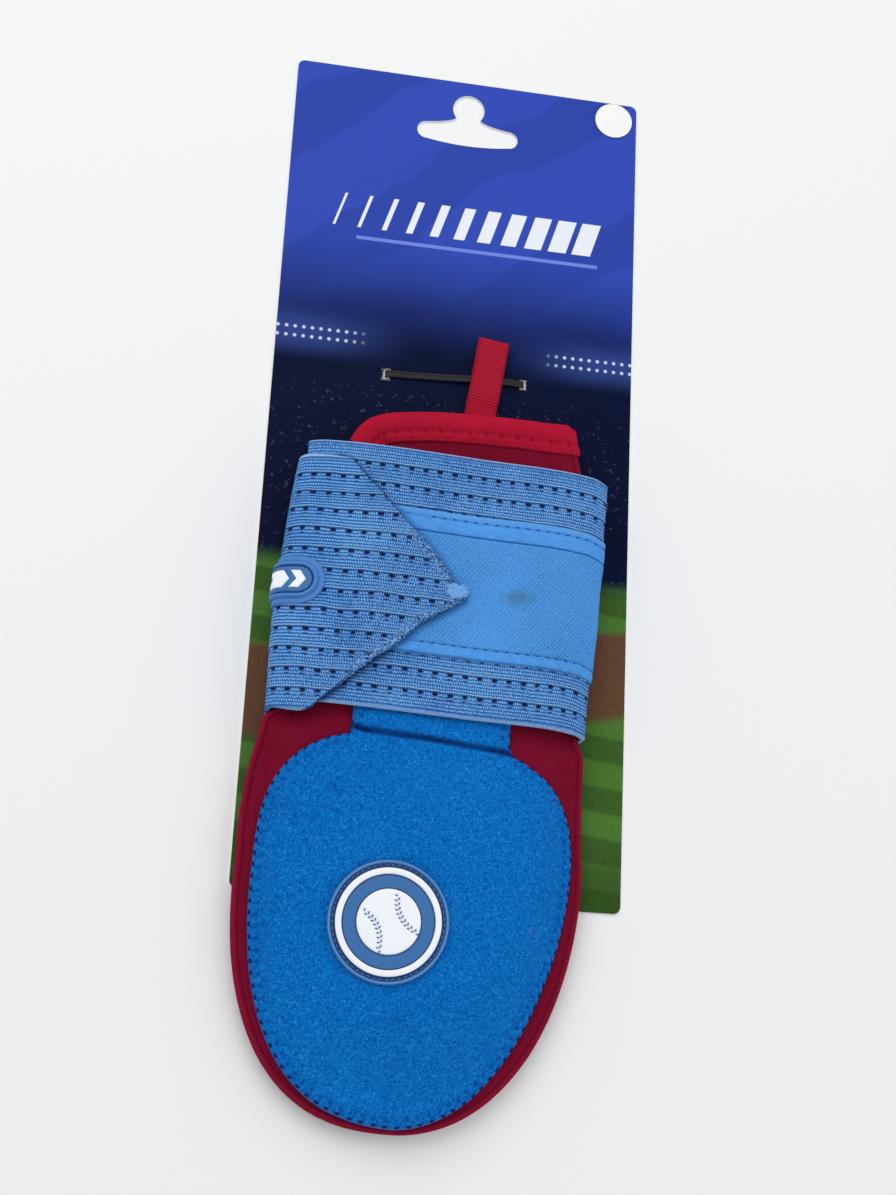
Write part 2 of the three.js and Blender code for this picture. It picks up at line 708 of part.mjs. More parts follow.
function badgePieces() {
  const reliefBase = GAP + BADGE_THICK + GAP;
  const ringOuter = RING_DIAMETER / 2;
  const ringInner = ringOuter - RING_WIDTH;
  const parts = new THREE.Group();
  parts.add(badgeLayer("badge", 0, BADGE_DIAMETER / 2, 3, GAP, BADGE_THICK, 0x2f6aad));
  parts.add(badgeLayer("badge_ring", ringInner, ringOuter, 1, reliefBase, RELIEF_THICK, 0xf4f6f8));
  parts.add(badgeLayer("badge_ball", 0, BALL_DIAMETER / 2, 2, reliefBase, RELIEF_THICK, 0xf4f6f8));
  return parts;
}

// Hang hole: a wide bar with round ends and a bellied lower edge, and a round lobe above it
function hangHole() {
  const y = CARD_HEIGHT / 2 - HOLE_FROM_TOP;
  const endX = HOLE_WIDTH / 2 - HOLE_END_RADIUS;
  const lobeY = y + HOLE_LOBE_RISE;
  const spread = THREE.MathUtils.degToRad(40);
  const lobeX = HOLE_LOBE_RADIUS * Math.cos(spread);
  const shoulderY = lobeY - HOLE_LOBE_RADIUS * Math.sin(spread);
  const hole = new THREE.Path();
  hole.moveTo(-endX, y - HOLE_END_RADIUS);
  hole.quadraticCurveTo(0, y - HOLE_END_RADIUS - 2 * HOLE_BELLY, endX, y - HOLE_END_RADIUS);
  hole.absarc(endX, y, HOLE_END_RADIUS, -Math.PI / 2, Math.PI / 2, false);
  hole.quadraticCurveTo(lobeX + 1, y + HOLE_END_RADIUS + HOLE_BELLY, lobeX, shoulderY);
  hole.absarc(0, lobeY, HOLE_LOBE_RADIUS, -spread, Math.PI + spread, false);
  hole.quadraticCurveTo(-lobeX - 1, y + HOLE_END_RADIUS + HOLE_BELLY, -endX, y + HOLE_END_RADIUS);
  hole.absarc(-endX, y, HOLE_END_RADIUS, Math.PI / 2, 1.5 * Math.PI, false);
  return hole;
}

function tieSlot(x, y) {
  const slot = new THREE.Path();
  const halfX = SLOT_WIDTH / 2;
  const halfY = SLOT_LENGTH / 2;
  slot.moveTo(x - halfX, y - halfY);
  slot.lineTo(x + halfX, y - halfY);
  slot.lineTo(x + halfX, y + halfY);
  slot.lineTo(x - halfX, y + halfY);
  return slot;
}

function slotHeight(side) {
  return SLOT_Y + side * SLOT_X * Math.tan(SLOT_TURN);
}

function card() {
  const x = CARD_WIDTH / 2;
  const y = CARD_HEIGHT / 2;
  const r = CARD_CORNER;
  const outline = new THREE.Shape();
  outline.moveTo(-x + r, -y);
  outline.absarc(x - r, -y + r, r, -Math.PI / 2, 0, false);
  outline.absarc(x - r, y - r, r, 0, Math.PI / 2, false);
  outline.absarc(-x + r, y - r, r, Math.PI / 2, Math.PI, false);
  outline.absarc(-x + r, -y + r, r, Math.PI, 1.5 * Math.PI, false);
  outline.holes.push(hangHole());
  outline.holes.push(tieSlot(-SLOT_X, slotHeight(-1)));
  outline.holes.push(tieSlot(SLOT_X, slotHeight(1)));
  const geometry = new THREE.ExtrudeGeometry(outline, {
    depth: CARD_THICK,
    bevelEnabled: false,
    curveSegments: 10,
  });
  return piece("card", geometry, 0x24408f, 0.35);
}

function cardSticker() {
  const geometry = new THREE.CylinderGeometry(STICKER_DIAMETER / 2, STICKER_DIAMETER / 2, STICKER_THICK, 32);
  geometry.rotateX(Math.PI / 2);
  const mesh = piece("card_sticker", geometry, 0xf7f7f5, 0.4);
  const x = CARD_WIDTH / 2 - STICKER_FROM_SIDE;
  const y = CARD_HEIGHT / 2 - STICKER_FROM_TOP;
  mesh.position.set(x, y, CARD_TOP + STICKER_THICK / 2);
  return mesh;
}

// Flat tie: down through one slot, over the card, through the loop and down through the other slot
function cardTie() {
  const reach = SLOT_X / Math.cos(SLOT_TURN);
  const low = CARD_TOP;
  const passage = CARD_TOP + WEBBING_THICK + GAP;
  const loopX = TIE_CROSSING_X / Math.cos(SLOT_TURN);
  const flat = WEBBING_WIDTH / 2 + TIE_SIDE_ROOM;
  const climb = loopX - flat - TIE_CLIMB;
  const side = new THREE.Shape();
  side.moveTo(-reach - TIE_THICK / 2, GAP / 2);
  side.lineTo(-reach + TIE_THICK / 2, GAP / 2);
  side.lineTo(-reach + TIE_THICK / 2, low);
  side.lineTo(-reach + TIE_FLAT, low);
  side.quadraticCurveTo(climb, low, loopX - flat, passage);
  side.lineTo(loopX + flat, passage);
  side.lineTo(reach - TIE_THICK / 2, low);
  side.lineTo(reach - TIE_THICK / 2, GAP / 2);
  side.lineTo(reach + TIE_THICK / 2, GAP / 2);
  side.lineTo(reach + TIE_THICK / 2, low + TIE_THICK);
  side.lineTo(loopX + flat, passage + TIE_THICK);
  side.lineTo(loopX - flat, passage + TIE_THICK);
  side.quadraticCurveTo(climb, low + TIE_THICK, -reach + TIE_FLAT, low + TIE_THICK);
  side.lineTo(-reach - TIE_THICK / 2, low + TIE_THICK);
  const geometry = new THREE.ExtrudeGeometry(side, {
    depth: TIE_WIDTH,
    bevelEnabled: false,
    curveSegments: 8,
  });
  geometry.translate(0, 0, -TIE_WIDTH / 2);
  geometry.rotateX(Math.PI / 2);
  const mesh = piece("card_tie", geometry, 0x111216, 0.6);
  mesh.position.set(0, SLOT_Y, 0);
  mesh.rotation.z = SLOT_TURN;
  return mesh;
}

function mitt() {
  const group = new THREE.Group();
  group.add(pullLoop(), backPanel(), cuffHem(), frontPanel(), handShield(), badgePieces());
  group.add(wristStrap(), loopPatch(), gripTab(), tipWeld());
  group.add(gripMark("grip_mark_1", MARK_START_X));
  group.add(gripMark("grip_mark_2", MARK_START_X - MARK_PITCH));
  group.position.set(MITT_X, MITT_Y, 0);
  group.rotation.z = MITT_TURN;
  return group;
}

const slidingMitt = new THREE.Group();
slidingMitt.add(card(), cardSticker(), cardTie(), mitt());

export default slidingMitt;
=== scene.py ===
import math

import bpy
import numpy as np
from mathutils import Matrix, Vector


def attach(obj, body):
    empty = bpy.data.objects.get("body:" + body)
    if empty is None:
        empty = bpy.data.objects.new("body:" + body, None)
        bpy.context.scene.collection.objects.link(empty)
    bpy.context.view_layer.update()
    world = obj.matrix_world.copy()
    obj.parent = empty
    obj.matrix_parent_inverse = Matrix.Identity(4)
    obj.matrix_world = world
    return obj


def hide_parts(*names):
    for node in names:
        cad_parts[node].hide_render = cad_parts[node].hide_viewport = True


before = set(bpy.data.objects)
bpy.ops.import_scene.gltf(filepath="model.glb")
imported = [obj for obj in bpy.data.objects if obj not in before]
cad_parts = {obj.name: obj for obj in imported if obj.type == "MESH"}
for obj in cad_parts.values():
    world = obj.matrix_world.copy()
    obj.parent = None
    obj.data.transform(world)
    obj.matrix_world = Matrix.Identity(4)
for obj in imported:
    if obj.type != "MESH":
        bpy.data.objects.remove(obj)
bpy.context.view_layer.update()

bl_info = {
    "name": "Sliding Mitt",
    "version": (1, 0, 0),
    "blender": (4, 5, 0),
    "location": "View3D > Sidebar > Mitt",
    "description": "Builds a youth sliding mitt that is tied to a plain hang card",
    "category": "Add Mesh",
}

# Lengths are in millimetres in the mitt's own frame, which is turned a little on the card.
MM = 0.001
GAP = 0.3
SEAT_GAP = 0.6
CARD_THICK = 0.6
SLOT_X = 24.3
SLOT_Y = 31.1
SLOT_TURN = math.radians(2.1)
TIE_WIDTH = 2.4
TIE_THICK = 0.7
WEBBING_WIDTH = 11
WEBBING_THICK = 0.8
LOOP_LENGTH = 31.4
LOOP_X = 5.45
LOOP_LEAN = math.radians(-4.8)
MITT_X = 3.5
MITT_Y = 16
MITT_TURN = math.radians(-2.6)
MITT_LENGTH = 239.7
MITT_TOP = 2
MITT_HALF_WIDTH = 55.25
MITT_MIDDLE = -3.35
MITT_WIDEST = 155
TIP_FULLNESS_LEFT = 2.44
TIP_FULLNESS_RIGHT = 2.13
BACK_THICK = 3
BACK_HEM_THICK = 2
FRONT_THICK = 2.4
FRONT_START = 30
EDGE_THICK = 2
SEAM_WIDTH = 6.5
SIDE_CURL = 1.6
WRIST_HOLLOW = 9.4
HAND_HOLLOW = 8.2
CROWN_FLATNESS = 5
HEM_DEPTH = 10.2
HEM_THICK = 0.9
STRAP_WIDTH = 89
STRAP_THICK = 1.3
STRAP_MIDDLE = -1.7
STRAP_HALF_WIDTH = 51.9
STRAP_FROM_TOP = 22.5
STRAP_EXIT = 13
STRAP_EXIT_START = 1
STRAP_SLANT = 6.8
STRAP_SIDE_Z = 9
STRAP_TIP_X = 2.8
TOP_ROUNDNESS = 2.8
BOTTOM_ROUNDNESS = 6
STRAP_START_TURN = 0.06
PATCH_HEIGHT = 49
PATCH_FROM_EDGE = 20.6
PATCH_THICK = 1.2
PATCH_LEFT_X = -24
PATCH_CLIMB = 11
PATCH_CLIMB_END = 2
PATCH_END_TURN = 1.06
GRIP_HEIGHT = 16.2
GRIP_RIGHT_X = -41.3
GRIP_MIDDLE_Y = -70.6
GRIP_THICK = 1.7
GRIP_WRAP = 0.04
MARK_HEIGHT = 5.8
MARK_WIDTH = 2.7
MARK_PITCH = 4.5
MARK_BEND = 2
MARK_START_X = -48.6
SHIELD_HALF_WIDTH = 50
SHIELD_MIDDLE = -3.55
SHIELD_WIDEST = -158
SHIELD_TOP_LENGTH = 42
SHIELD_TIP_LENGTH = 78
SHIELD_THICK = 4.4
SHIELD_RIM_THICK = 1.3
SHIELD_RIM_WIDTH = 9
SHIELD_TOP_FULLNESS = 2.9
SHIELD_TIP_FULLNESS_LEFT = 2.43
SHIELD_TIP_FULLNESS_RIGHT = 1.9
NECK_LEFT = 24.4
NECK_RIGHT = 27.1
NECK_END_Y = -103
BADGE_X = -10.35
BADGE_Y = -176
BADGE_DIAMETER = 38
RING_DIAMETER = 33
RING_WIDTH = 2
BALL_DIAMETER = 20
BALL_TURN = (0.86, 0.5)
BALL_SEAM_APART = 3.9
BALL_SEAM_BEND = 0.055
HEM_SEAM = 6.6
CREASE_X = (-40, -27, -23, -8, 8, 18, 24, 40)
CREASE_Y = (-115.4, -115.7, -116.7, -117, -117.8, -118.2, -118.4, -119)
PATCH_SEAM = 2.6
PATCH_FOLD = 7.7
PATCH_LOWER_SEAM = PATCH_HEIGHT - 3.7
PATCH_STITCH = 3.5
STRAP_POINT_Y = -68.6
PATCH_STAIN = (21.7, -67.4, 20)
SHIELD_SPECK = (36.3, -173.7, 15)
# The band along both of the strap's edges that has no slots begins to end, and ends
WEFT_FROM = 2.6
WEFT_TO = 3.6
# Half turns after which the strap is round its right side, comes round its left one, and is its pointed end
RIGHT_SIDE_TURN = 1.04
LEFT_SIDE_TURN = 1.93
TIP_TURN = 2.02
GRIP_FLANGE = 1.75
GRIP_GROOVE = 3.5
# The filling is simulated at a larger size, because the solver is made for larger cloth
FILLING_SCALE = 10
FILLING_FRAMES = 20
FILLING_STEPS = (3, 8)
# The photo's height and the camera's focal length, both in its pixels, and the sensor's height
PHOTO_HEIGHT = 1195
FOCAL_PIXELS = 1718
SENSOR = 36
CAMERA_RIGHT = Vector((0.9841449, 0.04905014, 0.17044911))
CAMERA_DOWN = Vector((0.09521909, -0.95688503, -0.27441642))
CAMERA_AHEAD = Vector((0.14964004, 0.28629553, -0.94638403))
CAMERA_PLACE = Vector((-0.08507242567, -0.21403995509, 0.54825167629))

# Stations of the side outline, the hem's line and the front's crown, as shares of the mitt's sizes
SIDES_ALONG = (0, 0.03, 0.061, 0.108, 0.26, 0.4, 0.47, 0.484, 0.515, 0.56, 0.647)
SIDES_LEFT = (0.681, 0.681, 0.681, 0.681, 0.79, 0.85, 0.873, 0.94, 0.965, 0.982, 1)
SIDES_RIGHT = (0.77, 0.8, 0.826, 0.848, 0.878, 0.9, 0.915, 0.952, 0.965, 0.981, 1)
HEM_ACROSS = (-0.64, -0.6, -0.535, -0.45, -0.354, -0.08, 0.4, 0.745)
HEM_BELOW = (0.0745, 0.0545, 0.0362, 0.0254, 0.0192, 0.0088, 0.0014, 0)
# How far the two outlines bulge: angles from the right, in degrees, and shares of their reach
SHIELD_BULGE_ANGLE = (-180, -100, -85, -70, -50, -35, -10, 5, 28, 45, 180)
SHIELD_BULGE = (0, 0, 0.012, 0.022, 0.016, 0.012, 0.028, 0.037, 0.038, 0, 0)
MITT_BULGE_ANGLE = (-195, -182, -172, -150, -125, -100, -78, -60, -48, -20, 0, 20, 165, 180)
MITT_BULGE = (0.02, 0, 0.006, 0.011, 0.012, 0.006, 0.006, 0.011, 0.015, 0.015, 0.015, 0, 0.02, 0)
CROWN_ALONG = (0, 0.37, 0.43, 0.475, 0.505, 0.55, 0.62, 0.8, 1)
CROWN_WRIST = (1, 1, 0.5, 0.4, 0.28, 0.12, 0, 0, 0)
CROWN_HAND = (0, 0, 0.15, 0.26, 0.5, 0.86, 1, 0.86, 0.5)

# Cut edges of the strap's pointed end, from its side to its point: places across and along the mitt
CUT_TOP_X = (-54, -48, -42, -39.5, -37.8, -33.5, -28, -24.1, -20.7, -16.5, -11.4, -6.7, -3.7, -1.1, 1.4, 2.8)
CUT_TOP = (
    -25.9, -26.2, -26.6, -26.9, -27.4, -31.7, -37, -41.2,
    -44.4, -48.7, -53.4, -58.3, -61.8, -65.3, -67.6, -69.4,
)
CUT_BOTTOM_X = (
    -54, -50, -45.5, -43, -41.1, -39.4, -37, -34, -31.1,
    -28, -23.8, -21.3, -16.3, -13.2, -10.5, -2.5, 0.6, 2.8,
)
CUT_BOTTOM = (
    -112.5, -113.1, -113.4, -112.8, -111.5, -109.4, -107, -104.4, -101.1,
    -97.9, -93.9, -91.8, -87.6, -84, -80.8, -75, -72.8, -70.8,
)
FRAY_TOP_X = -16
FRAY_BOTTOM_X = -31

# The strap bulges and narrows a little at its sides: places along the mitt and the shift outwards
SIDE_SHIFT_Y = (-112, -99, -89, -78, -56, -40, -26)
SIDE_SHIFT_LEFT = (-0.3, 0.3, 1.0, 1.2, 0.6, 0, -1.1)
SIDE_SHIFT_RIGHT = (-1.6, -1.6, -1.5, -1.1, -0.6, -0.2, 0)

CARD_TOP = CARD_THICK + GAP
STRAP_BACK_Z = CARD_TOP + STRAP_THICK / 2
STEM_TOP = CARD_TOP + 2 * WEBBING_THICK
HEM_BASE = STEM_TOP + 2 * GAP + HEM_THICK
WRIST_BASE = CARD_TOP + STRAP_THICK + GAP
HAND_BASE = CARD_TOP + GAP
STRAP_TOP_Y = MITT_TOP - STRAP_FROM_TOP
STRAP_END_Y = STRAP_TOP_Y - STRAP_WIDTH
LAYER_RISE = STRAP_THICK + GAP
PATCH_RISE = PATCH_THICK + GAP
WRIST_CROWN = WRIST_BASE + BACK_THICK + WRIST_HOLLOW + FRONT_THICK
STRAP_TOP_Z = WRIST_CROWN + SEAT_GAP + STRAP_THICK / 2


def linear(red, green, blue):
    """A display colour, from 0 to 255, as the linear colour that materials take."""
    shares = np.array((red, green, blue)) / 255
    curved = ((shares + 0.055) / 1.055) ** 2.4
    return tuple(float(v) for v in np.where(shares < 0.04045, shares / 12.92, curved))


def colour(name, description, default):
    return bpy.props.FloatVectorProperty(
        name=name, description=description, default=default, subtype="COLOR", size=3, min=0, max=1
    )


def length(name, description, default):
    return bpy.props.FloatProperty(
        name=name, description=description, default=default, min=0, subtype="DISTANCE", unit="LENGTH",
        precision=5,
    )


class MittStrapSettings(bpy.types.PropertyGroup):
    elastic: colour("Elastic Colour", "Colour of the strap's knitted elastic", linear(56, 119, 192))
    shade: colour("Shade Colour", "Colour between the strap's ribs", linear(22, 60, 132))
    pile: colour("Pile Colour", "Colour of the loop patch", linear(80, 152, 228))
    slot_pitch: length("Slot Pitch", "Distance between two slots in a row", 0.0049)
    row_pitch: length("Row Pitch", "Distance between two rows of slots", 0.006836)
    first_row: length("First Row", "Distance of the first row of slots from the strap's edge", 0.0069)
    rib_pitch: length("Rib Pitch", "Distance between two lengthwise ribs", 0.00114)


class MittClothSettings(bpy.types.PropertyGroup):
    panel: colour("Panel Colour", "Colour of the mitt's knitted walls", linear(126, 14, 44))
    hem: colour("Hem Colour", "Colour of the hem and the pull loop", linear(174, 20, 50))
    fleece: colour("Fleece Colour", "Colour of the shield's fleece", linear(6, 108, 190))
    thread: colour("Thread Colour", "Colour of the shield's stitches", linear(14, 30, 86))
    stitch_pitch: length("Stitch Pitch", "Length of one stitch round the shield", 0.0037)
    hem_pitch: length("Hem Stitch Pitch", "Length of one stitch along the hem", 0.0055)


class MittRubberSettings(bpy.types.PropertyGroup):
    base: colour("Rubber Colour", "Colour of the badge and the grip", linear(56, 108, 168))
    relief: colour("Relief Colour", "Colour of the raised marks", linear(240, 244, 250))


class MittCardSettings(bpy.types.PropertyGroup):
    top: colour("Top Colour", "Printed colour at the card's upper end", linear(52, 76, 178))
    middle: colour("Middle Colour", "Printed colour in the card's middle", linear(9, 17, 48))
    bottom: colour("Bottom Colour", "Printed colour at the card's lower end", linear(62, 98, 40))
    earth: colour("Earth Colour", "Printed colour of the lower end's brown band", linear(98, 68, 50))


class MittStageSettings(bpy.types.PropertyGroup):
    floor: colour("Floor Colour", "Colour of the floor", (0.86, 0.865, 0.875))
    key_power: bpy.props.FloatProperty(
        name="Key Light", description="Power of the large soft light", default=9, min=0, unit="POWER"
    )
    sky: bpy.props.FloatProperty(
        name="Sky", description="Strength of the even light from all round", default=0.7, min=0
    )


class Term:
    """A value from a material's nodes. An expression on it adds Math nodes."""

    def __init__(self, finish, socket):
        self.finish = finish
        self.socket = socket

    def __add__(self, other):
        return self.finish.maths("ADD", self, other)

    def __radd__(self, other):
        return self.finish.maths("ADD", other, self)

    def __sub__(self, other):
        return self.finish.maths("SUBTRACT", self, other)

    def __rsub__(self, other):
        return self.finish.maths("SUBTRACT", other, self)

    def __mul__(self, other):
        return self.finish.maths("MULTIPLY", self, other)

    def __rmul__(self, other):
        return self.finish.maths("MULTIPLY", other, self)

    def __truediv__(self, other):
        return self.finish.maths("DIVIDE", self, other)

    def __abs__(self):
        return self.finish.maths("ABSOLUTE", self)


class Finish:
    """One procedural material and the nodes that it is made of."""

    def __init__(self, name):
        self.material = bpy.data.materials.new(name)
        self.material.use_nodes = True
        self.tree = self.material.node_tree
        self.tree.nodes.clear()
        self.place = self.term(self.node("ShaderNodeTexCoord"), "Object")
        self.shown = None

    def node(self, kind, settings=None, values=None):
        """A node of a type: its settings first, then the values or links of its sockets."""
        made = self.tree.nodes.new(kind)
        for key, value in (settings or {}).items():
            setattr(made, key, value)
        for key, value in (values or {}).items():
            socket = made.inputs[key]
            if isinstance(value, Term):
                self.tree.links.new(value.socket, socket)
            elif socket.type == "RGBA":
                socket.default_value = (*value, 1)
            else:
                socket.default_value = value
        return made

    def term(self, node, output=0):
        return Term(self, node.outputs[output])

    def maths(self, operation, *values, clamp=False):
        """The result of a Math node."""
        settings = {"operation": operation, "use_clamp": clamp}
        return self.term(self.node("ShaderNodeMath", settings, dict(enumerate(values))))

    def wave(self, value, pitch):
        """A sine from 0 to 1 that repeats at a pitch."""
        return self.maths("SINE", value * (2 * math.pi / pitch)) * 0.5 + 0.5

    def step(self, value, start, end):
        """A smooth step from 0 at the start to 1 at the end."""
        settings = {"interpolation_type": "SMOOTHSTEP"}
        values = {"Value": value, "From Min": start, "From Max": end}
        if start > end:
            values = {"Value": value, "From Min": end, "From Max": start, "To Min": 1.0, "To Max": 0.0}
        return self.term(self.node("ShaderNodeMapRange", settings, values))

    def nearest(self, value, pitch):
        """Signed distance to the nearest multiple of a pitch."""
        return (self.maths("FRACT", value / pitch + 0.5) - 0.5) * pitch

    def noise(self, scale, detail=2.0, roughness=0.5, distortion=0.0, stretch=None):
        """Noise of a scale in features per metre, or stretched along the axes."""
        place = self.stretched(self.place, stretch) if stretch else self.place
        values = {"Vector": place, "Scale": scale, "Detail": detail}
        values.update({"Roughness": roughness, "Distortion": distortion})
        return self.term(self.node("ShaderNodeTexNoise", None, values), "Fac")

    def random(self, value):
        """A random number from 0 to 1 for each whole number."""
        made = self.node("ShaderNodeTexWhiteNoise", {"noise_dimensions": "1D"}, {"W": value})
        return self.term(made, "Value")

    def mix(self, share, first, second):
        """A colour that goes from the first to the second."""
        values = {0: share, 6: first, 7: second}
        return self.term(self.node("ShaderNodeMix", {"data_type": "RGBA"}, values), 2)

    def speckle(self, share, base, light, dark):
        """Set a colour from dark over its base to light. A number is a factor of the base."""
        light, dark = (lighter(base, v) if isinstance(v, float) else v for v in (light, dark))
        low = self.mix(self.step(share, 0.0, 0.5), dark, base)
        self.shown = self.mix(self.step(share, 0.5, 1.0), low, light)

    def tint(self, share, rgb):
        """Lay a colour over what is shown so far."""
        self.shown = self.mix(share, self.shown, rgb)

    def clamped(self, value):
        return self.maths("ADD", value, 0.0, clamp=True)

    def stretched(self, place, scale):
        return self.term(self.node("ShaderNodeMapping", None, {"Vector": place, "Scale": scale}))

    def apart(self, point, scale):
        """Distance, in metres, to a point of the mitt in the plane, with both axes stretched."""
        values = {0: self.place, 1: seated(np.array([point]))[0]}
        away = self.term(self.node("ShaderNodeVectorMath", {"operation": "SUBTRACT"}, values))
        flat = {0: self.stretched(away, (*scale, 0.0))}
        return self.term(self.node("ShaderNodeVectorMath", {"operation": "LENGTH"}, flat), "Value")

    def split(self, vector):
        """The three parts of a vector."""
        parts = self.node("ShaderNodeSeparateXYZ", None, {"Vector": vector})
        return [self.term(parts, i) for i in range(3)]

    def on_map(self, name):
        """The two numbers of one of the piece's maps, in millimetres."""
        return self.split(self.term(self.node("ShaderNodeUVMap", {"uv_map": name})))[:2]

    def surface(self, roughness, specular, height, depth, strength):
        """The shader itself. What changes over the surface feeds its colour, roughness and bump."""
        values = {"Height": height, "Distance": depth, "Strength": strength}
        normal = self.term(self.node("ShaderNodeBump", None, values))
        values = {"Base Color": self.shown, "Roughness": roughness, "Normal": normal}
        values["Specular IOR Level"] = specular
        shader = self.term(self.node("ShaderNodeBsdfPrincipled", None, values))
        self.node("ShaderNodeOutputMaterial", None, {"Surface": shader})
        return self.material


# Shapes that the pieces share


def smooth(value, start, end):
    """A smooth step from 0 at the start to 1 at the end."""
    share = np.clip((value - start) / (end - start), 0, 1)
    return share * share * (3 - 2 * share)


def blend(first, second, share):
    return first + (second - first) * share


def between(stations, values, at):
    """Smooth value between stations."""
    stations, values = np.asarray(stations, float), np.asarray(values, float)
    last = len(stations) - 1
    at = np.clip(at, stations[0], stations[-1])
    i = np.clip(np.searchsorted(stations, at) - 1, 0, last - 1)
    before, after = np.maximum(i - 1, 0), np.minimum(i + 2, last)
    span = stations[i + 1] - stations[i]
    share = (at - stations[i]) / span
    start = (values[i + 1] - values[before]) / (stations[i + 1] - stations[before]) * span
    end = (values[after] - values[i]) / (stations[after] - stations[i]) * span
    bend = share * (1 - share)
    ease = share * share * (3 - 2 * share)
    return values[i] + (values[i + 1] - values[i]) * ease + bend * (start * (1 - share) - end * share)


def hump(away, width=1.0):
    """A round hump that is 1 at 0 and falls off over a width."""
    return np.exp(-((away / width) ** 2))


def round_in(distance, width, power=2):
    """A quarter round that rises from 0 at an edge to 1 at a width inside it."""
    return np.sqrt(1 - (1 - np.clip(distance / width, 0, 1)) ** power)


def run_along(line):
    """Distance along a line to each of its points."""
    return np.concatenate([[0], np.cumsum(np.hypot(*np.diff(line, axis=0).T))])


def points_at(wanted, run, line):
    """Points of a line at distances along it."""
    return np.stack([np.interp(wanted, run, line[:, i]) for i in range(line.shape[1])], -1)


def heading(line):
    """Unit vectors along a line in the plane."""
    ahead = np.gradient(line, axis=0)
    return ahead / np.hypot(ahead[:, 0], ahead[:, 1])[:, None]


def along_at(y):
    """Share of the mitt's length at a y, from its upper end."""
    return (MITT_TOP - y) / MITT_LENGTH


def tip_share(y):
    """Share of the way from the mitt's widest place to its tip."""
    return np.clip((MITT_TOP - MITT_WIDEST - y) / (MITT_LENGTH - MITT_WIDEST), 0, 1)


def side_width(y, left):
    """Half the mitt's width at a y, but for the rounding of its tip."""
    return MITT_HALF_WIDTH * between(SIDES_ALONG, SIDES_LEFT if left else SIDES_RIGHT, along_at(y))


def half_width(y, left):
    """Half the mitt's width at a y, to one side of its middle."""
    power = TIP_FULLNESS_LEFT if left else TIP_FULLNESS_RIGHT
    return side_width(y, left) * (1 - tip_share(y) ** power) ** (1 / power)


def rim_share(x, y):
    """Share of the way from the mitt's middle to its rim."""
    side = x - MITT_MIDDLE
    power = np.where(side < 0, TIP_FULLNESS_LEFT, TIP_FULLNESS_RIGHT)
    widest = np.where(side < 0, side_width(y, True), side_width(y, False))
    return np.minimum(((np.abs(side) / widest) ** power + tip_share(y) ** power) ** (1 / power), 1)


def past_hem(y):
    """0 under the hem and 1 under the strap."""
    return smooth(-y, STRAP_FROM_TOP - MITT_TOP - HEM_DEPTH, STRAP_FROM_TOP - MITT_TOP)


def past_strap(y):
    """0 under the strap and 1 past it, over the hand."""
    start = -STRAP_END_Y + STRAP_SLANT + STRAP_EXIT_START
    return smooth(-y, start, start + STRAP_EXIT)


def rim_rise(y):
    """How far the back wall's rim curls up."""
    return BACK_THICK - EDGE_THICK + SIDE_CURL * past_hem(y) * (1 - past_strap(y))


def back_underside(x, y):
    base = blend(blend(HEM_BASE, WRIST_BASE, past_hem(y)), HAND_BASE, past_strap(y))
    return base + rim_rise(y) * smooth(rim_share(x, y), 0.7, 1)


def back_topside(x, y):
    body = blend(BACK_HEM_THICK, BACK_THICK, past_hem(y))
    return back_underside(x, y) + body - (body - EDGE_THICK) * smooth(rim_share(x, y), 0.7, 1)


def front_topside(x, y):
    """Height of the front wall's outside, with its crowns over the wrist and the hand."""
    wrist = between(CROWN_ALONG, CROWN_WRIST, along_at(y))
    hand = between(CROWN_ALONG, CROWN_HAND, along_at(y))
    seam = 1 - SEAM_WIDTH / MITT_HALF_WIDTH
    inside = np.minimum(rim_share(x, y) / seam, 1)
    middle = np.full_like(y, MITT_MIDDLE)
    edge = back_underside(middle, y) + rim_rise(y) + 2 * EDGE_THICK + SEAT_GAP
    crown = back_topside(middle, y) + wrist * WRIST_HOLLOW + hand * HAND_HOLLOW + FRONT_THICK
    return edge + (crown - edge) * (1 - inside**CROWN_FLATNESS)


def winding(turn, rise):
    """Place in a section across the wrist, after so many half turns of the strap from its start."""
    angle = np.pi * (1 - turn)
    over = np.sin(angle) >= 0
    power = np.where(over, 2 / TOP_ROUNDNESS, 2 / BOTTOM_ROUNDNESS)
    height = np.where(over, STRAP_TOP_Z - STRAP_SIDE_Z + rise, STRAP_SIDE_Z - STRAP_BACK_Z)

    def shape(value):
        return np.sign(value) * np.abs(value) ** power

    x = STRAP_MIDDLE + (STRAP_HALF_WIDTH + rise) * shape(np.cos(angle))
    return np.stack([x, STRAP_SIDE_Z + height * shape(np.sin(angle))], -1)


def layer_rise(turn):
    """How much further out the strap lies over its first layer and over the patch."""
    second = LAYER_RISE * smooth(turn, 1.1, 1.9)
    climb_end = PATCH_LEFT_X - PATCH_CLIMB_END
    over_patch = smooth(winding(turn, LAYER_RISE)[..., 0], climb_end - PATCH_CLIMB, climb_end)
    return second + PATCH_RISE * np.where(turn > 2, over_patch, 0)


def strap_shift(turn):
    """How far the strap slants down the mitt after so many half turns."""
    return -STRAP_SLANT * smooth(turn, 1, 2)


FINE_TURNS = np.linspace(0.02, 2.9, 12000)
FINE_POINTS = winding(FINE_TURNS, layer_rise(FINE_TURNS))
FINE_RUN = run_along(FINE_POINTS)
FINE_AHEAD = heading(FINE_POINTS)


def turn_at_x(x, second):
    """Half turns after which the winding's first or second layer passes an x on the front."""
    inside = (FINE_TURNS > 2) if second else (FINE_TURNS < 1)
    return float(np.interp(x, FINE_POINTS[inside, 0], FINE_TURNS[inside]))


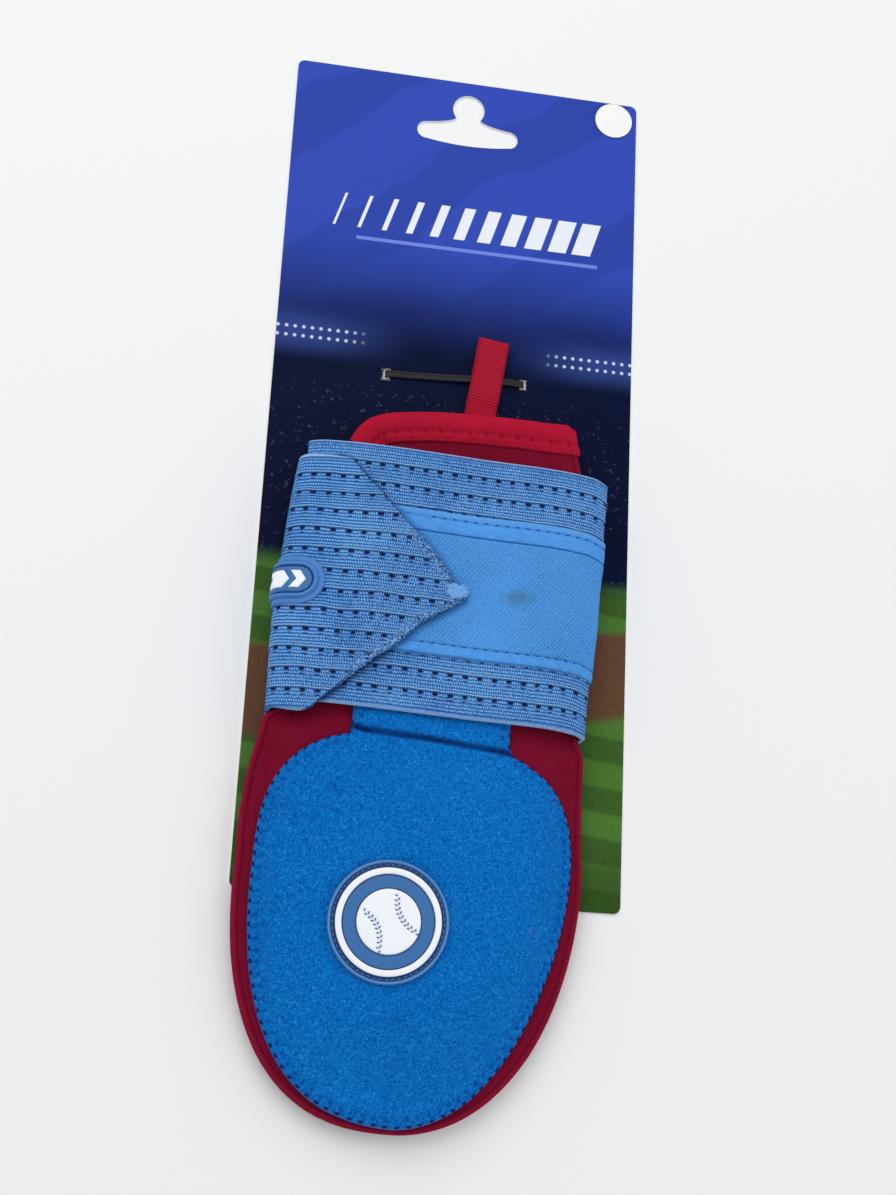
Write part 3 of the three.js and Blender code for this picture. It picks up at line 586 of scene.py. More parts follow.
def side_shift(x, y):
    """How far the strap's sides bulge or narrow, and how far its right end lifts."""
    side = x - STRAP_MIDDLE
    share = smooth(np.abs(side) / STRAP_HALF_WIDTH, 0.45, 1)
    left = -between(SIDE_SHIFT_Y, SIDE_SHIFT_LEFT, y)
    right = between(SIDE_SHIFT_Y, SIDE_SHIFT_RIGHT, y)
    lift = 0.8 * smooth(x, 5, 38) - 0.8 * smooth(x, 44, 50)
    return np.where(side < 0, left, right) * share, lift


def on_winding(run, height, y):
    """Points at a run along the winding and a height over its middle surface."""
    place, ahead = (points_at(run, FINE_RUN, values) for values in (FINE_POINTS, FINE_AHEAD))
    x = place[..., 0] - ahead[..., 1] * height
    out, lift = side_shift(x, y)
    return np.stack([x + out, y + lift, place[..., 1] + ahead[..., 0] * height], -1)


def run_at(turn):
    return float(np.interp(turn, FINE_TURNS, FINE_RUN))


def resampled(points, count):
    """A closed outline as evenly spaced points."""
    closed = np.vstack([points, points[:1]])
    run = run_along(closed)
    wanted = np.linspace(0, run[-1], count, endpoint=False)
    return points_at(wanted, run, closed)


def rim_fields(points, outline):
    """Distance from each point to a closed outline, and the outline's run there."""
    ahead = np.roll(outline, -1, axis=0) - outline
    steps = np.hypot(ahead[:, 0], ahead[:, 1])
    start_run = np.cumsum(steps) - steps
    distance = np.empty(len(points))
    run = np.empty(len(points))
    for first in range(0, len(points), 2000):
        away = points[first : first + 2000, None] - outline
        share = np.clip((away * ahead).sum(-1) / (steps**2), 0, 1)
        gap = np.hypot(*np.moveaxis(away - share[..., None] * ahead, -1, 0))
        best = gap.argmin(1)
        rows = np.arange(len(best))
        distance[first : first + 2000] = gap[rows, best]
        run[first : first + 2000] = start_run[best] + share[rows, best] * steps[best]
    return distance, run


def cut_line():
    """The two cut edges of the strap's point as one line."""
    upper = np.stack([CUT_TOP_X, CUT_TOP], -1)[2:]
    lower = np.stack([CUT_BOTTOM_X, CUT_BOTTOM], -1)[:1:-1]
    return np.vstack([upper, lower])


def line_distance(points, line):
    """Distance from each point to an open line."""
    ahead = np.diff(line, axis=0)
    away = points[:, None] - line[None, :-1]
    share = np.clip((away * ahead).sum(-1) / (ahead**2).sum(-1), 0, 1)
    return np.hypot(*np.moveaxis(away - share[..., None] * ahead, -1, 0)).min(1)


def disc_plan(outline, centre, shares):
    """Rings of an outline that shrink to its centre. The first ring is the outline."""
    return centre + (outline - centre) * np.asarray(shares)[:, None, None]


def rounded_drop(distance, radius):
    """How far an edge rounds down at a distance inside it."""
    return radius * (1 - round_in(distance, radius))


def rng(seed):
    return np.random.default_rng(seed)


def soft_noise(points, size, seed, layers=3):
    """Smooth noise from about -1 to 1 at places in the plane, from sums of slanted waves."""
    source = rng(seed)
    total = np.zeros(points.shape[:-1])
    for layer in range(layers):
        for _ in range(5):
            angle = source.uniform(0, 2 * np.pi)
            pitch = size / 2**layer * source.uniform(0.8, 1.25)
            wave = points[..., 0] * np.cos(angle) + points[..., 1] * np.sin(angle)
            total += np.sin(wave * 2 * np.pi / pitch + source.uniform(0, 2 * np.pi)) / 2**layer
    return total / 4


# Meshes


def numbered(grid, first=0):
    """The numbers of a grid's points."""
    return first + np.arange(grid.shape[0] * grid.shape[1]).reshape(grid.shape[:2])


def grid_faces(index, wrapped=False):
    if wrapped:
        index = np.hstack([index, index[:, :1]])
    corners = [index[:-1, :-1], index[1:, :-1], index[1:, 1:], index[:-1, 1:]]
    return np.stack(corners, -1).reshape(-1, 4)


def tube_faces(index):
    """Faces of a tube of rings that is closed at both ends."""
    return [*grid_faces(index, True).tolist(), index[0].tolist(), index[-1, ::-1].tolist()]


def volume_of(points, faces):
    total = 0.0
    for size in {len(face) for face in faces}:
        corners = points[np.array([face for face in faces if len(face) == size])]
        for k in range(1, size - 1):
            total += (corners[:, 0] * np.cross(corners[:, k], corners[:, k + 1])).sum()
    return total / 6


def outwards(points, faces):
    """A body whose faces all look outwards."""
    return points, [face[::-1] for face in faces] if volume_of(points, faces) < 0 else faces


def closed_sheet(outer, inner, step=4):
    """A body between two grids, with rows down and columns to the right, and a coarser inside."""
    inner = inner[::step, ::step]
    top = numbered(outer)
    under = numbered(inner, top.size)

    def ring(index):
        return np.concatenate([index[0, :-1], index[:-1, -1], index[-1, :0:-1], index[:0:-1, 0]])

    faces = [*grid_faces(top).tolist(), *grid_faces(under)[:, ::-1].tolist()]
    outside, inside = ring(top), ring(under)
    for i in range(len(inside)):
        edge = [int(outside[(i * step + k) % len(outside)]) for k in range(step + 1)]
        faces.append([*edge, int(inside[(i + 1) % len(inside)]), int(inside[i])])
    return np.concatenate([outer.reshape(-1, 3), inner.reshape(-1, 3)]), faces


def closed_disc(outer, inner, step=4):
    """A body between two discs of rings, from the rim to the last ring, which closes on its middle."""
    inner = inner[:, ::step]
    top = numbered(outer)
    middle = top.size
    under = numbered(inner, middle + 1)
    under_middle = int(under[-1, -1]) + 1
    faces = [*grid_faces(top, True)[:, ::-1].tolist(), *grid_faces(under, True).tolist()]
    for last, centre, turned in ((top[-1], middle, False), (under[-1], under_middle, True)):
        for i in range(len(last)):
            fan = [int(last[i]), int(last[(i + 1) % len(last)]), centre]
            faces.append(fan[::-1] if turned else fan)
    for i in range(under.shape[1]):
        edge = [int(top[0, (i * step + k) % top.shape[1]]) for k in range(step, -1, -1)]
        faces.append([*edge, int(under[0, i]), int(under[0, (i + 1) % under.shape[1]])])
    points = [outer.reshape(-1, 3), outer[-1].mean(0)[None], inner.reshape(-1, 3), inner[-1].mean(0)[None]]
    return np.concatenate(points), faces


def disc_grid(outline, centre, columns, depths, reach):
    """Rings of an outline at depths inside it, with their distance to it and its run there."""
    rim = resampled(outline, columns)
    plan = disc_plan(rim, centre, [1 - depth / reach for depth in depths])
    distance, run = rim_fields(plan.reshape(-1, 2), rim)
    return plan, distance.reshape(plan.shape[:2]), run.reshape(plan.shape[:2])


def disc_map(values, middle, step=6, sunk=(0, 0)):
    """The map of a closed disc from the numbers of its outer points and its middle."""
    under = values[:, ::step].reshape(-1, 2) + sunk
    return np.concatenate([values.reshape(-1, 2), [middle], under, [middle]])


def rim_maps(body, distance, run):
    """A disc's plan, and the distance to its rim with the run along it."""
    rim = disc_map(np.stack([distance, run], -1), (distance.max() + 1, 0), sunk=(9, 0))
    return {"plan": body[0][:, :2], "rim": rim}


def sheet_map(values, step):
    """The map of a closed sheet from the numbers of its outer points."""
    return np.concatenate([values.reshape(-1, 2), values[::step, ::step].reshape(-1, 2)])


def closed_ring(grid):
    """A body whose rows are the points round its section and whose columns go round it."""
    index = numbered(grid)
    return outwards(grid.reshape(-1, 3), grid_faces(np.vstack([index, index[:1]]), True).tolist())


def swept(path, across, normal, section):
    """A body made by a closed section that follows a path."""
    offset = section[None, :, :1] * across[:, None] + section[None, :, 1:] * normal[:, None]
    grid = path[:, None] + offset
    return outwards(grid.reshape(-1, 3), tube_faces(numbered(grid)))


def threads(starts, ends, radius, arch, ups=(0.0, 0.0, 1.0), rings=7, sides=6):
    """Short lengths of thread, each from a start to an end, arched upwards."""
    starts, ends, ups = np.asarray(starts), np.asarray(ends), np.asarray(ups)
    share = np.linspace(0, 1, rings)
    ahead = ends - starts
    ahead_unit = ahead / np.linalg.norm(ahead, axis=1)[:, None]
    side = np.cross(ahead_unit, ups)
    side /= np.linalg.norm(side, axis=1)[:, None]
    up = np.cross(side, ahead_unit)
    lift = arch * (4 * share * (1 - share) - 0.5)
    centre = starts[:, None] + ahead[:, None] * share[None, :, None] + up[:, None] * lift[None, :, None]
    thick = radius * np.sqrt(np.clip(1.06 - (2 * share - 1) ** 4, 0, 1))
    angle = np.arange(sides) / sides * 2 * np.pi
    ring = side[:, None] * np.cos(angle)[None, :, None] + up[:, None] * np.sin(angle)[None, :, None]
    points = centre[:, :, None] + ring[:, None] * thick[None, :, None, None]
    index = np.arange(rings * sides).reshape(rings, sides)
    faces = [[v + n * index.size for v in face] for n in range(len(starts)) for face in tube_faces(index)]
    return points.reshape(-1, 3), faces


def seated(points):
    """Points of the mitt's frame, in millimetres, in metres on the card."""
    cos, sin = math.cos(MITT_TURN), math.sin(MITT_TURN)
    x = points[:, 0] * cos - points[:, 1] * sin + MITT_X
    y = points[:, 0] * sin + points[:, 1] * cos + MITT_Y
    return np.stack([x, y, points[:, 2]], -1) * MM


def linked(name, data):
    """A new object in the scene."""
    made = bpy.data.objects.new(name, data)
    bpy.context.collection.objects.link(made)
    return made


def add_piece(name, body, material, maps=None, sharp=50, on_card=False):
    """A new object from points and faces, with its maps, that rides on the part."""
    points, faces = body
    mesh = bpy.data.meshes.new(name)
    places = points * MM if on_card else seated(points)
    mesh.from_pydata(places.tolist(), [], faces)
    corners = np.empty(len(mesh.loops), dtype=np.int32)
    mesh.loops.foreach_get("vertex_index", corners)
    for map_name, values in (maps or {}).items():
        layer = mesh.uv_layers.new(name=map_name)
        layer.uv.foreach_set("vector", values[corners].astype(np.float32).ravel())
    mesh.shade_smooth()
    mesh.set_sharp_from_angle(angle=math.radians(sharp))
    mesh.materials.append(material)
    piece = linked(name, mesh)
    if volume_of(points, faces) <= 0:
        raise RuntimeError(f"{name} is inside out")
    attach(piece, "root")
    return piece


# Materials


def lighter(rgb, factor):
    """A colour times a factor."""
    return tuple(min(v * factor, 1) for v in rgb)


def knit_finish(base, pitch=0.62):
    """Fine knit: ribs along the mitt, with loops across them, and the sewn edge's ticks and seam."""
    finish = Finish("wall_knit")
    across, along = finish.on_map("plan")
    drift = finish.noise(260, 2)
    ribs = finish.wave(across + drift * 0.3, pitch)
    loops = finish.wave(along + ribs * 0.2, pitch * 0.8)
    fuzz = finish.noise(2600, 2)
    cloud = finish.noise(34, 3)
    height = ribs * 0.6 + loops * 0.25 + fuzz * 0.35
    share = ribs * 0.3 + loops * 0.12 + fuzz * 0.3 + cloud * 0.36 - 0.04
    finish.speckle(share, base, 1.45, 0.52)
    distance, run = finish.on_map("rim")
    tick = finish.wave(run, 1.1) * finish.step(distance, 1.5, 0.9)
    finish.tint(tick * 0.4, lighter(base, 2.0))
    seam = finish.step(abs(distance - 2.1), 0.3, 0.1)
    finish.tint(seam * 0.4, lighter(base, 0.35))
    return finish.surface(0.86, 0.06, height + tick * 0.8 - seam * 1.2, 0.00022, 0.9)


def hem_finish(base):
    """Fine knit across the hem's run, darker along its stitches, with a painted highlight on its folded lip.
    """
    finish = Finish("hem_knit")
    run, reach = finish.on_map("cloth")
    fuzz = finish.noise(2400, 2)
    ribs = finish.wave(run + fuzz * 0.25, 0.62)
    cloud = finish.noise(60, 3)
    finish.speckle(ribs * 0.25 + fuzz * 0.4 + cloud * 0.5 - 0.06, base, 1.4, 0.55)
    finish.tint(finish.step(abs(reach - HEM_SEAM), 2.4, 0.3) * 0.22, lighter(base, 0.62))
    # Painted highlight along the folded lip.
    finish.tint(finish.step(reach, HEM_DEPTH - 0.7, HEM_DEPTH - 0.1) * 0.35, linear(212, 44, 70))
    return finish.surface(0.82, 0.06, ribs * 0.5 + fuzz * 0.5, 0.0002, 0.8)


def webbing_finish(base):
    """Ribbed webbing with darker borders."""
    finish = Finish("loop_webbing")
    run, across = finish.on_map("cloth")
    fuzz = finish.noise(2200, 2)
    ribs = finish.wave(run + fuzz * 0.2, 1.0)
    yarn = finish.wave(across + finish.nearest(run, 1.0) * 0.3, 0.72)
    finish.speckle(ribs * 0.5 + yarn * 0.22 + fuzz * 0.3 - 0.04, base, 1.6, 0.42)
    finish.tint(finish.step(abs(across), 4.2, 4.8) * 0.5, lighter(base, 0.55))
    finish.tint(finish.step(finish.noise(45, 2), 0.5, 0.8) * 0.3, linear(190, 26, 46))
    return finish.surface(0.62, 0.1, ribs * 0.7 + yarn * 0.3 + fuzz * 0.2, 0.0003, 0.9)


def fleece_finish(base):
    """Short fleece of clumped fibre with light strands, and a purple speck near its right side. Painted shade
    darkens its stitch dimples, the neck's crease and the tucks at the crease's ends.
    """
    finish = Finish("shield_fleece")
    clumps = finish.noise(1350, 2, 0.6, 0.6)
    bent = finish.noise(500, 1)
    strands = finish.noise(1.0, 1, 0.5, 0.8, stretch=(2300, 900, 900))
    crossed = finish.noise(1.0, 1, 0.5, 0.8, stretch=(1000, 2300, 900))
    cloud = finish.noise(30, 3)
    broad = finish.noise(230, 2)
    fibres = finish.maths("MAXIMUM", strands, crossed)
    share = (clumps - 0.5) * 1.05 + (fibres - 0.58) * 2.1 + (cloud - 0.5) * 0.25 + (broad - 0.5) * 0.15 + 0.5
    finish.speckle(finish.clamped(share), base, linear(38, 140, 220), linear(4, 76, 154))
    finish.tint(finish.step(bent, 0.66, 0.8) * 0.3, linear(30, 120, 176))
    distance, run = finish.on_map("rim")
    # Painted shade in the dimples that the rim's stitches press into the fleece.
    dent_shade = finish.step(abs(distance - 2.6), 1.1, 0.15)
    dent_shade = dent_shade * finish.step(abs(finish.nearest(run, 3.7)), 0.9, 0.15)
    finish.tint(dent_shade * 0.55, linear(4, 58, 140))
    finish.tint(finish.step(distance, 0.9, 0.25) * 0.5, linear(60, 112, 190))
    fold, near = finish.on_map("fold")
    # Painted shade along the neck's crease.
    finish.tint(finish.step(abs(fold), 2.0, 0.3) * near * 0.82, linear(4, 34, 96))
    # Painted shade in the small tucks at the ends of the neck's crease.
    tucks = finish.noise(1.0, 1, stretch=(500, 140, 300))
    tuck_shade = finish.step(abs(near - 0.5), 0.4, 0.1) * finish.step(abs(fold + 1), 6, 2)
    finish.tint(tuck_shade * finish.step(tucks, 0.5, 0.7) * 0.6, linear(4, 46, 112))
    speck = finish.apart(SHIELD_SPECK, (1, 1))
    finish.tint(finish.step(speck, 0.0014, 0.0003) * 0.5, linear(58, 60, 150))
    return finish.surface(0.92, 0.05, clumps * 0.7 + fibres * 0.7, 0.0006, 0.7)


def strap_finish(settings):
    """Ribbed elastic with rows of slots painted dark as the shade in their holes, a raised cord over each row
    and a fine knit between them.
    """
    finish = Finish("strap_elastic")
    base, shade = settings.elastic, settings.shade
    light, slot_shade_colour = linear(134, 188, 240), linear(10, 16, 60)
    run, across = finish.on_map("cloth")
    fuzz = finish.noise(1900, 2, 0.6)
    loose = finish.noise(950, 2, 0.6)
    pitch, rib = settings.row_pitch / MM, settings.rib_pitch / MM
    rows = (across - settings.first_row / MM) / pitch + 0.5
    number = finish.maths("FLOOR", rows)
    wobble = finish.noise(190, 1) - 0.5
    from_row = (finish.maths("FRACT", rows) - 0.5) * pitch + wobble * 0.5
    uneven = finish.noise(320, 1)
    step_run = finish.nearest(run + finish.random(number) * 2.2 + wobble * 1.2, settings.slot_pitch / MM)
    banded = finish.step(across, WEFT_FROM, WEFT_TO)
    banded = banded * finish.step(across, STRAP_WIDTH - WEFT_FROM, STRAP_WIDTH - WEFT_TO)

    def oval(half_run, half_across, drop):
        wide = step_run / (half_run * (0.55 + uneven))
        high = (from_row - drop) / half_across
        return finish.step(finish.maths("SQRT", wide * wide + high * high), 1.12, 0.82) * banded

    slots = oval(0.93, 0.55, 0.12)
    dashes = oval(0.85, 0.25, 1.65)
    cord = finish.step(abs(from_row + 1.05 + (loose - 0.5) * 0.35), 0.42, 0.1) * banded * (0.45 + uneven)
    under_cord_shade = finish.step(abs(from_row + 0.62), 0.26, 0.05) * banded
    ribs = finish.wave(across + wobble * 0.3, rib)
    rib_number = finish.maths("FLOOR", across / rib)
    shifted = run + rib_number * 0.27 + finish.random(rib_number) * 0.35 + wobble * 1.4
    wales = finish.wave(shifted + ribs * 0.3 + fuzz * 0.35 + loose * 0.3, 0.8)
    courses = finish.wave(across + fuzz * 0.2 + loose * 0.15, 0.57)
    cut, worked = finish.on_map("rim")
    shadow_distance, frayed = finish.on_map("shadow_distance")
    crossing = finish.wave(run * 0.9 + across * 1.7, 1.5)
    twill = finish.wave(run * 0.8 - across * 1.5, 1.35)
    contrast = 0.3 + finish.step(worked, 0.2, 0.95) * 0.75
    knit = (wales - 0.5) * 0.78 + (crossing - 0.5) * 0.2 + (fuzz - 0.5) * 1.0
    knit = knit + (courses - 0.5) * 0.2 + (twill - 0.5) * 0.16
    cloud = finish.noise(46, 3) - 0.5
    grouped = (loose - 0.5) * 0.4 * contrast
    share = 0.5 + knit * contrast + (ribs - 0.5) * (0.9 - contrast * 0.42) + cloud * 0.5 + grouped
    finish.speckle(finish.clamped(share), base, light, shade)
    # Painted shade in a band beside each raised cord.
    finish.tint(under_cord_shade * 0.6, linear(20, 52, 120))
    finish.tint(cord * 0.7, linear(140, 192, 240))
    finish.tint(dashes * (0.3 + contrast * 0.6), linear(20, 48, 116))
    # Painted shade: the slots' near-black colour stands in for the shade inside their holes.
    finish.tint(slots * 0.97, slot_shade_colour)
    tufts = finish.step(finish.noise(1500, 2, 0.7), 0.46, 0.56)
    torn = finish.mix(tufts, linear(20, 60, 138), linear(140, 194, 244))
    finish.tint(finish.step(cut, 4.6, 0.6) * frayed * 0.72, torn)
    # Painted shade: a dark line along the unfrayed parts of the cut edges, where the edge rolls down.
    gap = finish.step(cut, 0.55, 0.25) * finish.step(frayed, 0.7, 0.2)
    finish.tint(gap * 0.8, linear(18, 44, 108))
    edge = finish.maths("MINIMUM", across, STRAP_WIDTH - across)
    # Painted highlight on the selvedges' raised lip, then a line of painted shade just inside it.
    finish.tint(finish.step(edge, 0.8, 0.3) * 0.7, linear(162, 196, 238))
    finish.tint(finish.step(abs(edge - 1.25), 0.5, 0.1) * 0.35, shade)
    # Painted shadow of the pointed end on the layer below, next to its cut outline.
    finish.tint(finish.step(shadow_distance, 2.4, 0.1) * 0.72, linear(14, 40, 98))
    height = ribs * 0.4 + wales * 0.3 * contrast + fuzz * 0.4 + cord * 0.7 - slots * 1.8 - dashes * 0.6
    return finish.surface(0.78, 0.08, height, 0.0004, 1.0)


def pile_finish(base):
    """Cross-hatched pile with a stain, between a smooth pressed band above and one below. Painted shade
    darkens the fold line and the strip beside the strap's point.
    """
    finish = Finish("patch_pile")
    run, down = finish.on_map("cloth")
    shadow_distance, _ = finish.on_map("shadow_distance")
    piled = finish.step(down, PATCH_FOLD, 8.1) * finish.step(down, PATCH_HEIGHT - 3.6, PATCH_HEIGHT - 4.2)
    fuzz = finish.noise(1900, 3, 0.6)
    bent = finish.noise(150, 2) * 1.3
    leaning = finish.wave(run * 0.82 + down * 0.58 + bent + fuzz * 0.3, 1.2)
    crossed = finish.wave(down * 0.86 - run * 0.5 + bent + fuzz * 0.3, 1.05)
    hatch = leaning * crossed
    cloud = finish.noise(42, 3)
    streaks = finish.noise(1.0, 2, 0.6, stretch=(420, 1500, 600))
    bands = (1 - piled) * (streaks - 0.5) * 1.1
    share = 0.5 + (hatch - 0.3) * piled * 0.75 + (fuzz - 0.5) * (0.75 + piled * 0.3)
    share = share + (cloud - 0.5) * 0.6 + bands
    finish.speckle(finish.clamped(share), base, 1.42, 0.55)
    finish.tint(finish.step(down, 2.8, 0.8) * 0.35, linear(116, 170, 228))
    finish.tint((1 - piled) * 0.22, linear(66, 128, 192))
    seams = finish.step(abs(down - PATCH_SEAM - (streaks - 0.5) * 1.2), 0.6, 0.1)
    seams = seams + finish.step(abs(down - PATCH_LOWER_SEAM), 0.55, 0.1)
    finish.tint(seams * 0.3, linear(30, 88, 160))
    # Painted shade along the fold line of the upper band.
    finish.tint(finish.step(abs(down - PATCH_FOLD), 0.45, 0.1) * 0.75, linear(18, 76, 148))
    from_stain = finish.apart(PATCH_STAIN, (0.8, 1.1))
    stain = finish.step(from_stain + (finish.noise(420, 3) - 0.5) * 0.008, 0.0056, 0.0002)
    finish.tint(stain * 0.5, linear(74, 106, 122))
    # Painted shadow of the strap's pointed end on the patch, next to its cut outline.
    finish.tint(finish.step(shadow_distance, 3.4, 0.1) * 0.62, linear(20, 74, 142))
    height = hatch * piled * 0.8 + fuzz * (0.2 + piled * 0.6)
    return finish.surface(0.88, 0.06, height, 0.00045, 0.9)


def rubber_finish(name, base, spread=0.25, mark=None):
    """Soft moulded rubber with a fine grain, faint flow and what a mark function lays over it."""
    finish = Finish(name)
    grains = finish.noise(2200, 2)
    flow = finish.noise(1.0, 2, stretch=(60, 160, 60))
    finish.speckle(0.5 + (grains - 0.5) * spread + (flow - 0.5) * 0.6, base, 1.18, 0.78)
    if mark:
        mark(finish)
    return finish.surface(0.4 + grains * 0.16, 0.25, grains * 0.4, 0.00012, 0.5)


def thread_finish(name, base):
    """Twisted thread."""
    finish = Finish(name)
    x, y, _ = finish.split(finish.place)
    twist = finish.wave(x * 1000 + y * 1400, 0.4)
    fuzz = finish.noise(2600, 2)
    finish.speckle(twist * 0.5 + fuzz * 0.5, base, 1.7, 0.5)
    return finish.surface(0.6, 0.12, twist, 0.0001, 0.7)


def melt_finish(base):
    finish = Finish("melted_yarn")
    lumps = finish.noise(700, 3)
    threads_left = finish.noise(520, 2, stretch=(1, 5, 1))
    share = lumps * 0.6 + threads_left * 0.5
    finish.speckle(share, base, linear(150, 196, 238), linear(64, 124, 196))
    return finish.surface(0.42, 0.3, lumps + threads_left * 0.5, 0.0004, 0.8)


def tie_finish():
    finish = Finish("tie_plastic")
    grains = finish.noise(900, 3)
    finish.shown = finish.mix(grains, linear(8, 8, 11), linear(26, 26, 32))
    return finish.surface(0.3 + grains * 0.2, 0.3, grains, 0.0001, 0.5)


def sticker_finish():
    finish = Finish("sticker_paper")
    fibres = finish.noise(1400, 3)
    patchy = finish.noise(150, 2)
    finish.shown = finish.mix(fibres * 0.5 + patchy * 0.5, linear(236, 236, 232), linear(250, 250, 249))
    return finish.surface(0.5 + fibres * 0.1, 0.3, fibres, 0.00005, 0.4)


def card_finish(settings):
    """Coated print: blue, navy, green and earth bands, plain slanted bars and a dotted line.
    The cut edges and the torn rims of the tie's slots show bare board."""
    finish = Finish("card_print")
    top, bottom, earth = settings.top, settings.bottom, settings.earth
    x, y, _ = [part * 1000 for part in finish.split(finish.place)]
    broad = finish.noise(14, 3) - 0.5
    fine = finish.noise(900, 3) - 0.5
    slant = finish.wave(x * 0.8 - y + broad * 50, 64)
    finish.shown = finish.mix(finish.step(slant, 0.62, 0.72) * 0.5, top, lighter(top, 0.72))
    finish.tint(finish.step(y + broad * 18, 86, 52), lighter(top, 0.42))
    finish.tint(finish.step(y + broad * 22, 66, 34), settings.middle)
    grain = finish.noise(620, 2, 0.6)
    specks = finish.step(grain, 0.62, 0.72) * finish.step(y, 30, 18) * finish.step(y, -44, -34)
    finish.tint(specks * 0.22, linear(128, 124, 128))
    mown = finish.step(finish.wave(y + x * 0.12, 17), 0.35, 0.65) * 0.5
    grass = finish.mix(mown + 0.1 + fine * 0.5, lighter(bottom, 0.8), lighter(bottom, 1.9))
    finish.tint(finish.step(y + broad * 8, -36, -44), grass)
    soil = finish.mix(0.5 + fine * 1.2, lighter(earth, 0.8), lighter(earth, 1.25))
    finish.tint(finish.step(abs(y + 78 + broad * 30 - x * 0.12), 17, 13), soil)
    finish.tint(finish.step(y, -126, -140) * 0.6, lighter(bottom, 0.5))
    # Plain slanted bars that widen to the right, over a thin line
    leaned = x - (y - 90) * 0.3
    cell = finish.nearest(leaned, 9.0)
    wide = 0.4 + finish.step(leaned, -52, 50) * 3.1
    bars = finish.step(abs(cell) - wide, 0.12, -0.12)
    bars = bars * finish.step(abs(y - 92), 6.6, 6.35) * finish.step(abs(leaned + 1), 50.1, 49.9)
    finish.tint(bars * 0.93, linear(238, 241, 250))
    rule = finish.step(abs(y - 81.5), 0.75, 0.6) * finish.step(abs(x - 6), 44.1, 43.9)
    finish.tint(rule * 0.85, linear(120, 140, 226))
    spot_x, spot_y = finish.nearest(x, 3.0), finish.nearest(y - 41, 3.4)
    spot = finish.step(finish.maths("SQRT", spot_x * spot_x + spot_y * spot_y), 0.85, 0.3)
    spot = spot * finish.step(abs(y - 42.7), 3.3, 3.2) * finish.step(abs(x), 30, 40)
    glow = finish.step(abs(y - 42.7), 11, 1) * finish.step(abs(x), 14, 52)
    finish.tint(glow * 0.5, linear(62, 86, 168))
    finish.tint(spot * 0.85, linear(222, 230, 250))
    torn = finish.noise(700, 2) * 0.9
    for side, outer, inner in ((-1, 1.25, 0.85), (1, 0.9, 0.6)):
        slot_y = SLOT_Y + side * SLOT_X * math.tan(SLOT_TURN)
        apart_x = finish.maths("MAXIMUM", abs(x - side * SLOT_X) - 1, 0.0)
        apart_y = finish.maths("MAXIMUM", abs(y - slot_y) - 1.7, 0.0)
        rim = finish.step(finish.maths("MAXIMUM", apart_x, apart_y) + torn, outer, inner)
        finish.tint(rim * finish.step(torn, 0.36, 0.5), linear(128, 122, 112))
    facing = finish.split(finish.term(finish.node("ShaderNodeNewGeometry"), "Normal"))[2]
    board = finish.step(abs(facing), 0.7, 0.5)
    finish.tint(board, linear(240, 239, 235))
    back = finish.step(facing, -0.5, -0.7)
    finish.tint(back, linear(214, 210, 200))
    rough = 0.34 + fine * 0.1 + board * 0.4 + back * 0.3
    return finish.surface(rough, 0.03, broad * 3 + fine * 0.3, 0.0002, 0.25)


def floor_finish(base):
    finish = Finish("floor_paper")
    fine = finish.noise(300, 3)
    finish.shown = finish.mix(fine * 0.25, base, lighter(base, 1.02))
    return finish.surface(0.7, 0.2, fine, 0.0002, 0.1)


# Pieces


def mitt_outline(top):
    """The mitt's outline below a y, anticlockwise from its upper left corner."""
    widest = MITT_TOP - MITT_WIDEST
    tip = widest - np.sin(np.linspace(0, np.pi / 2, 160)) * (MITT_LENGTH - MITT_WIDEST)
    y = np.concatenate([np.linspace(top, widest, 260)[:-1], tip])
    left = np.stack([MITT_MIDDLE - half_width(y, True), y], -1)
    right = np.stack([MITT_MIDDLE + half_width(y, False), y], -1)
    outline = np.vstack([left, right[-2::-1]])
    away = outline - (-5, -160)
    angle = np.degrees(np.arctan2(away[:, 1], away[:, 0]))
    bulge = np.interp(angle, MITT_BULGE_ANGLE, MITT_BULGE) * smooth(-outline[:, 1], 118, 136)
    return outline + away * bulge[:, None]


def shield_outline():
    """The shield's outline: an oval with a neck, anticlockwise from its top."""
    angle = np.linspace(0, 2 * np.pi, 3000, endpoint=False) + np.pi / 2
    across, up = np.cos(angle), np.sin(angle)
    tip = np.where(across < 0, SHIELD_TIP_FULLNESS_LEFT, SHIELD_TIP_FULLNESS_RIGHT)
    power = np.where(up > 0, SHIELD_TOP_FULLNESS, tip)
    reach = np.where(up > 0, SHIELD_TOP_LENGTH, SHIELD_TIP_LENGTH)
    far = ((np.abs(across) / SHIELD_HALF_WIDTH) ** power + (np.abs(up) / reach) ** power) ** (-1 / power)
    side = np.where(across < 0, NECK_LEFT, NECK_RIGHT)
    end = (NECK_END_Y - SHIELD_WIDEST) / np.maximum(up, 1e-6)
    neck = np.where(up > 0, np.minimum(side / np.maximum(np.abs(across), 1e-6), end), 0)
    far = far * (1 + np.interp((np.degrees(angle) + 180) % 360 - 180, SHIELD_BULGE_ANGLE, SHIELD_BULGE))
    # The neck's corners run into the oval on a small round
    far = np.where(up > 0, np.logaddexp(far * 1.6, neck * 1.6) / 1.6, far)
    return np.stack([SHIELD_MIDDLE + across * far, SHIELD_WIDEST + up * far], -1)


def hem_line(count):
    """Points and inward normals of the hem's line, from left to right."""
    knots = np.stack([
        MITT_MIDDLE + np.array(HEM_ACROSS) * MITT_HALF_WIDTH,
        MITT_TOP - np.array(HEM_BELOW) * MITT_LENGTH,
    ], -1)
    run = run_along(knots)
    fine = np.linspace(0, run[-1], count)
    line = np.stack([between(run, knots[:, i], fine) for i in (0, 1)], -1)
    ahead = heading(line)
    return fine, line, np.stack([ahead[:, 1], -ahead[:, 0]], -1)


